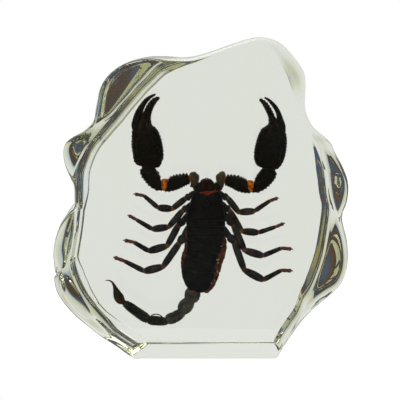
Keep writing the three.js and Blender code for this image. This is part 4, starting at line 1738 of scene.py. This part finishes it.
@dataclass
class Tail:
    """Five keeled tail segments, the skin between them and the sting.

    Attributes:
        segments: Sections of each segment.
        sting: Sections of the sting's bulb and needle.
        neck: Sections of the joint between the last segment and the bulb.
        arch: Sections of the thin lifted ridge over the fourth segment.
    """

    segments: Sequence[Sequence[Row]] = (
        (
            (-2.9, 31.8, 2.7, 2.4, 0.2), (-3.4, 30, 3.5, 2.9, 0.2), (-4, 27.8, 3.55, 2.9, 0.2),
            (-4.9, 25.8, 2.8, 2.4, 0.2),
        ),
        (
            (-4.9, 26, 2.4, 2.2, 0.2), (-6.1, 24.2, 3.2, 2.8, 0.2), (-7.7, 22, 3.25, 2.8, 0.2),
            (-9, 20.1, 2.4, 2.2, 0.2),
        ),
        (
            (-8.6, 20, 2, 1.9, 0.2), (-10.5, 18.5, 2.5, 2.5, 0.2), (-12.4, 17.3, 2.6, 2.6, 0.2),
            (-14.4, 16.5, 2.6, 2.6, 0.2), (-16.5, 15.7, 1.9, 2, 0.2),
        ),
        (
            (-15.9, 15.3, 1.6, 1.8, 0.2), (-18, 15.2, 1.95, 2.3, 0.2), (-21, 15.5, 2.15, 2.5, 0.2),
            (-23.6, 15.7, 2.1, 2.5, 0.2), (-25.6, 16, 1.5, 1.8, 0.2),
        ),
        (
            (-24.9, 15.9, 1.6, 1.8, 0.2), (-26.4, 17, 2.15, 2.3, 0.2), (-28.6, 18.6, 2.25, 2.4, 0.2),
            (-31.4, 20.7, 2.15, 2.3, 0.2), (-34.2, 22.9, 1.95, 2.2, 0.2), (-36.5, 24.7, 1.4, 1.6, 0.2),
        ),
    )
    sting: Sequence[Row] = (
        (-36.9, 24.5, 1, 1.1, 0.2), (-38, 25.6, 2, 2.1, 0.2), (-39.2, 27.4, 2.4, 2.5, 0.2),
        (-40, 29.4, 1.95, 2.1, 0.2), (-40.7, 31.6, 1.2, 1.3, 0.2), (-41.4, 33.5, 0.72, 0.8, 0.2),
        (-42.4, 35.1, 0.46, 0.5, 0.2), (-43.8, 35.9, 0.3, 0.35, 0.2), (-45.6, 35.9, 0.1, 0.12, 0.2),
    )
    neck: Sequence[Row] = (
        (-35, 23.6, 1.4, 1.5, 0.2), (-36.6, 24.6, 1.35, 1.4, 0.2), (-38.4, 25.9, 1.5, 1.5, 0.2),
    )
    arch: Sequence[Row] = (
        (-24.3, 17.1, 0.2, 0.5, 0.2), (-23.5, 18.2, 0.24, 0.6, 0.2), (-21.9, 18.75, 0.26, 0.6, 0.2),
        (-20, 18.55, 0.24, 0.6, 0.2), (-18, 17.1, 0.2, 0.5, 0.2),
    )

    @staticmethod
    def segment_relief(grains: Pebbles, teeth: float) -> Relief:
        """Relief of a tail segment.

        Args:
            grains: Its fine grains.
            teeth: Height of the upper keel's teeth in mm.

        Returns:
            Height in mm: the grains, the upper toothed keel, the lower one and five between.
        """

        def relief(along: np.ndarray, angle: np.ndarray) -> np.ndarray:
            """Sum of the grains and the seven keels."""
            high = grains(along, angle, 16) + Keel(math.pi, 0.3, teeth, 1.2, 0.9)(along, angle)
            high = high + Keel(0.0, 0.25, 0.14, 1.1, 0.5)(along, angle)
            for turn in (-0.75, -1.57, -2.4, 0.9, 2.3):
                high = high + Keel(turn, 0.16, 0.24, 1.0, 0.6)(along, angle)
            return high

        return relief

    @staticmethod
    def bulb_relief(along: np.ndarray, angle: np.ndarray) -> np.ndarray:
        """Grains on the sting's bulb, which fade out toward the needle."""
        return Pebbles(0.9, 0.16, 221)(along, angle, 13) * np.clip(1 - along / 9, 0, 1)

    @staticmethod
    def sting_rust(share: np.ndarray, _angle: np.ndarray) -> np.ndarray:
        """Reddish share at the bulb's root and along the needle."""
        return 0.7 * bell(share - 0.12, 0.1) + 0.9 * np.clip((share - 0.5) / 0.3, 0, 1)

    def build(self) -> list[tuple[bpy.types.Object, ShellFinish]]:
        """Makes the first three segments, and the last two with the sting.

        Returns:
            The two pieces, each with its finish.
        """
        first, last = Hide(), Hide()
        for index, rows in enumerate(self.segments):
            hide = first if index < 3 else last
            teeth, hairs = (0.4, 24) if index < 4 else (0.6, 90)
            relief = self.segment_relief(Pebbles(0.9, 0.12, 201 + index), teeth)
            run = Run(rows, 56, 0.2, (0.5, 0.5), 2.7)
            hide.carry(run, relief, 0.0, self.ends, hairs, 0.7, 211 + index)
        for index, (before, after) in enumerate(zip(self.segments[:-1], self.segments[1:])):
            a, b = np.array(before[-2]), np.array(after[1])
            middle = (np.array(before[-1]) + np.array(after[0])) / 2
            rows = [a * (1, 1, 0.7, 0.7, 1), middle * (1, 1, 1.05, 1.05, 1), b * (1, 1, 0.7, 0.7, 1)]
            hide = first if index < 2 else last
            hide.carry(Run([tuple(r) for r in rows], 32, 0.4))
        collar = [(-3.6, 30.6, 1.2, 1, -2.3), (-2.5, 30.9, 1.3, 1, -2.3), (-1.4, 30.9, 0.9, 0.8, -2.3)]
        first.carry(Run(collar, 20, 0.25), None, 0.0, 1.0)
        last.carry(Run(self.neck, 24, 0.3))
        sting = Run(self.sting, 48, 0.25, (1.0, 0.3))
        last.carry(sting, self.bulb_relief, 0.0, self.sting_rust, 36, 0.8, 223)
        last.carry(Run(self.arch, 12, 0.3, (0.3, 0.3)), None, 0.0, 0.3)
        return [(first.build("tail_front"), TAIL_FINISH), (last.build("tail_sting"), STING_FINISH)]

    @staticmethod
    def ends(share: np.ndarray, _angle: np.ndarray) -> np.ndarray:
        """Reddish share at a segment's two ends."""
        return 0.2 * (bell(share, 0.06) + bell(1 - share, 0.06))

    def dress(self) -> None:
        """Builds the tail's two pieces and hands them in with their finishes."""
        dress_shells(self.build())


# ---------------------------------------------------------------- studio


def facing(spot: Vector, way: Vector) -> Matrix:
    """Place of a camera or a lamp that stands at a spot and looks one way, in metres."""
    return Matrix.Translation(spot) @ way.to_track_quat("-Z", "Y").to_matrix().to_4x4()


@dataclass
class Studio:
    """Pale floor, soft light and the camera.

    Attributes:
        distance: From the camera to the aim point, in mm.
        elevation: Of the camera above the aim point, in degrees.
        aim_z: Height of the aim point in mm.
        lens: Focal length on a 36 mm wide sensor.
        sheet: Half width, nearest y and farthest y of the floor, in metres.
        glare: Glow of the sheet to the camera, so bright that it hides the block's shadow.
        haze: Glow of the sheet to everything else.
        screen: y of the border of the white screen behind the block, dim side and bright side.
        ahead: Brightness of a like screen before the block, to rays that pass through resin.
        ceiling: z of the border of the white overhead, dim side and bright side.
        white: Brightness of screen and ceiling.
        under: Light from far below the block, in place of the sheet, which resin doesn't show.
    """

    distance: float = 410.0
    elevation: float = 13.0
    aim_z: float = 74.3
    lens: float = 77.0
    sheet: tuple[float, float, float] = (0.45, -0.05, 0.9)
    glare: float = 1.0
    haze: Colour = (0.62, 0.635, 0.6)
    screen: tuple[float, float] = (-0.15, 1.0)
    ahead: float = 0.5
    ceiling: tuple[float, float] = (0.45, 0.75)
    white: Colour = (0.82, 0.84, 0.84)
    under: Colour = (0.55, 0.55, 0.43)

    def camera(self) -> None:
        """Places the camera in front of the large face, looking along +Y and a little down."""
        data = bpy.data.cameras.new("camera")
        data.lens = self.lens
        data.sensor_width = 36.0
        data.clip_start, data.clip_end = 0.01, 50.0
        camera = bpy.data.objects.new("camera", data)
        bpy.context.collection.objects.link(camera)
        turn = math.radians(self.elevation)
        aim = Vector((0, 0, self.aim_z * MM))
        back = Vector((0, -math.cos(turn), math.sin(turn)))
        camera.matrix_world = facing(aim + back * self.distance * MM, -back)
        bpy.context.scene.camera = camera

    def floor(self) -> None:
        """Makes a pale sheet just under the base, which ends close in front of the block.

        The sheet isn't seen through the resin; the light from below stands in for it there.
        """
        x, near, far = self.sheet
        low = -0.00002
        corners = [(-x, near, low), (x, near, low), (x, far, low), (-x, far, low)]
        mesh = bpy.data.meshes.new("floor")
        mesh.from_pydata(corners, [], [(0, 1, 2, 3)])
        floor = bpy.data.objects.new("floor", mesh)
        bpy.context.collection.objects.link(floor)
        material, board = new_material("pale_floor")
        out = board.node("ShaderNodeOutputMaterial")
        shader = board.node("ShaderNodeBsdfPrincipled")
        shader.inputs["Base Color"].default_value = (0.2, 0.2, 0.2, 1)
        shader.inputs["Roughness"].default_value = 0.9
        shader.inputs["Specular IOR Level"].default_value = 0.1
        path = board.node("ShaderNodeLightPath")
        glow = board.blend(path.outputs["Is Camera Ray"], self.haze, (self.glare,) * 3)
        board.join(glow, shader.inputs["Emission Color"])
        shader.inputs["Emission Strength"].default_value = 1.0
        board.join(shader.outputs[0], out.inputs["Surface"])
        mesh.materials.append(material)
        floor.visible_transmission = False

    def sky(self) -> None:
        """Sets the surroundings.

        The camera sees white. The block sees a white screen behind it, white overhead and a dim
        room at its sides and in front. Light through the resin also meets a weaker screen in
        front, which shows the animal from behind. The border between dim and bright wavers with
        slow noise, and its fringe is blue in some places and yellow in others, in place of the
        resin's split light.
        """
        world = bpy.data.worlds.new("studio")
        bpy.context.scene.world = world
        world.use_nodes = True
        world.node_tree.nodes.clear()
        board = NodeBoard(world.node_tree)
        out = board.node("ShaderNodeOutputWorld")
        place = board.node("ShaderNodeTexCoord")
        split = board.node("ShaderNodeSeparateXYZ")
        board.join(place.outputs["Generated"], split.inputs[0])
        cloud = board.node("ShaderNodeTexNoise", Scale=1.7, Detail=1.5)
        board.join(place.outputs["Generated"], cloud.inputs["Vector"])
        waver = board.math("MULTIPLY_ADD", cloud.outputs["Fac"], 1.0, -0.5)
        path = board.node("ShaderNodeLightPath")
        drop = board.math("MULTIPLY", waver, 0.12)
        drop = board.math("MULTIPLY_ADD", split.outputs["Z"], -0.23, drop)
        behind = board.step(board.math("MULTIPLY_ADD", split.outputs["Y"], 0.97, drop), *self.screen)
        ahead = board.step(board.math("MULTIPLY_ADD", split.outputs["Y"], -0.97, drop), *self.screen)
        weak = board.math("MULTIPLY", path.outputs["Is Transmission Ray"], self.ahead)
        ahead = board.math("MULTIPLY", ahead, weak)
        above = board.step(board.math("MULTIPLY_ADD", waver, 0.4, split.outputs["Z"]), *self.ceiling)
        bright = board.math("MAXIMUM", board.math("MAXIMUM", behind, ahead), above)
        cool = board.ramp(
            bright,
            (0.0, 0.08, 0.1, 0.125), (0.2, 0.13, 0.17, 0.22), (0.28, 0.1, 0.2, 0.45),
            (0.36, 0.38, 0.55, 0.75), (0.44, 0.62, 0.64, 0.55), (0.93, *self.white),
        )
        warm = board.ramp(
            bright,
            (0.0, 0.07, 0.05, 0.03), (0.16, 0.2, 0.15, 0.07), (0.26, 0.45, 0.42, 0.25),
            (0.38, 0.6, 0.6, 0.42), (0.6, 0.66, 0.66, 0.5), (0.93, *self.white),
        )
        tone = board.node("ShaderNodeTexNoise", Scale=2.6, Detail=2.0)
        board.join(place.outputs["Generated"], tone.inputs["Vector"])
        side = board.step(tone.outputs["Fac"], 0.4, 0.56)
        room = board.blend(side, warm, cool)
        under = board.step(board.math("MULTIPLY", split.outputs["Z"], -1.0), 0.45, 0.8)
        room = board.blend(under, room, self.under)
        glow = board.node("ShaderNodeBackground", Strength=1.0)
        board.join(room, glow.inputs["Color"])
        screen = board.node("ShaderNodeBackground", Strength=1.0)
        screen.inputs["Color"].default_value = (1, 1, 1, 1)
        mix = board.node("ShaderNodeMixShader")
        board.join(path.outputs["Is Camera Ray"], mix.inputs[0])
        board.join(glow.outputs[0], mix.inputs[1])
        board.join(screen.outputs[0], mix.inputs[2])
        board.join(mix.outputs[0], out.inputs["Surface"])

    def lamp(self, name: str, place: Row, aim: Row, size: float, power: float) -> None:
        """Hangs one square soft light.

        Args:
            name: Name of the light.
            place: Where it hangs, in metres.
            aim: Point that it faces, in metres.
            size: Side length in metres.
            power: Watts.
        """
        data = bpy.data.lights.new(name, "AREA")
        data.shape = "SQUARE"
        data.size = size
        data.energy = power
        lamp = bpy.data.objects.new(name, data)
        bpy.context.collection.objects.link(lamp)
        lamp.matrix_world = facing(Vector(place), (Vector(aim) - Vector(place)).normalized())

    def build(self) -> None:
        """Sets up camera, floor, light and the way light is traced through the resin."""
        self.camera()
        self.floor()
        self.sky()
        self.lamp("top_light", (0.1, 0.1, 1.1), (0, 0, 0.05), 1.0, 5.0)
        self.lamp("fill_light", (-0.25, -0.55, 0.85), (0, 0, 0.08), 0.5, 3.0)
        scene = bpy.context.scene
        scene.view_settings.view_transform = "Standard"
        scene.view_settings.look = "None"
        scene.cycles.max_bounces = 28
        scene.cycles.transmission_bounces = 28
        scene.cycles.glossy_bounces = 16
        scene.cycles.diffuse_bounces = 5
        scene.cycles.transparent_max_bounces = 16
        scene.cycles.sample_clamp_indirect = 6.0
        scene.cycles.use_denoising = True


def main() -> None:
    """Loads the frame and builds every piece."""
    logging.basicConfig(level=logging.INFO, format="%(name)s: %(message)s")
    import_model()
    Studio().build()
    ResinBlock().dress()
    for arm in (LEFT_ARM, RIGHT_ARM):
        arm.dress()
    for leg in LEGS:
        leg.dress()
    Head().dress()
    Trunk().dress()
    Tail().dress()


if __name__ == "__main__":
    main()
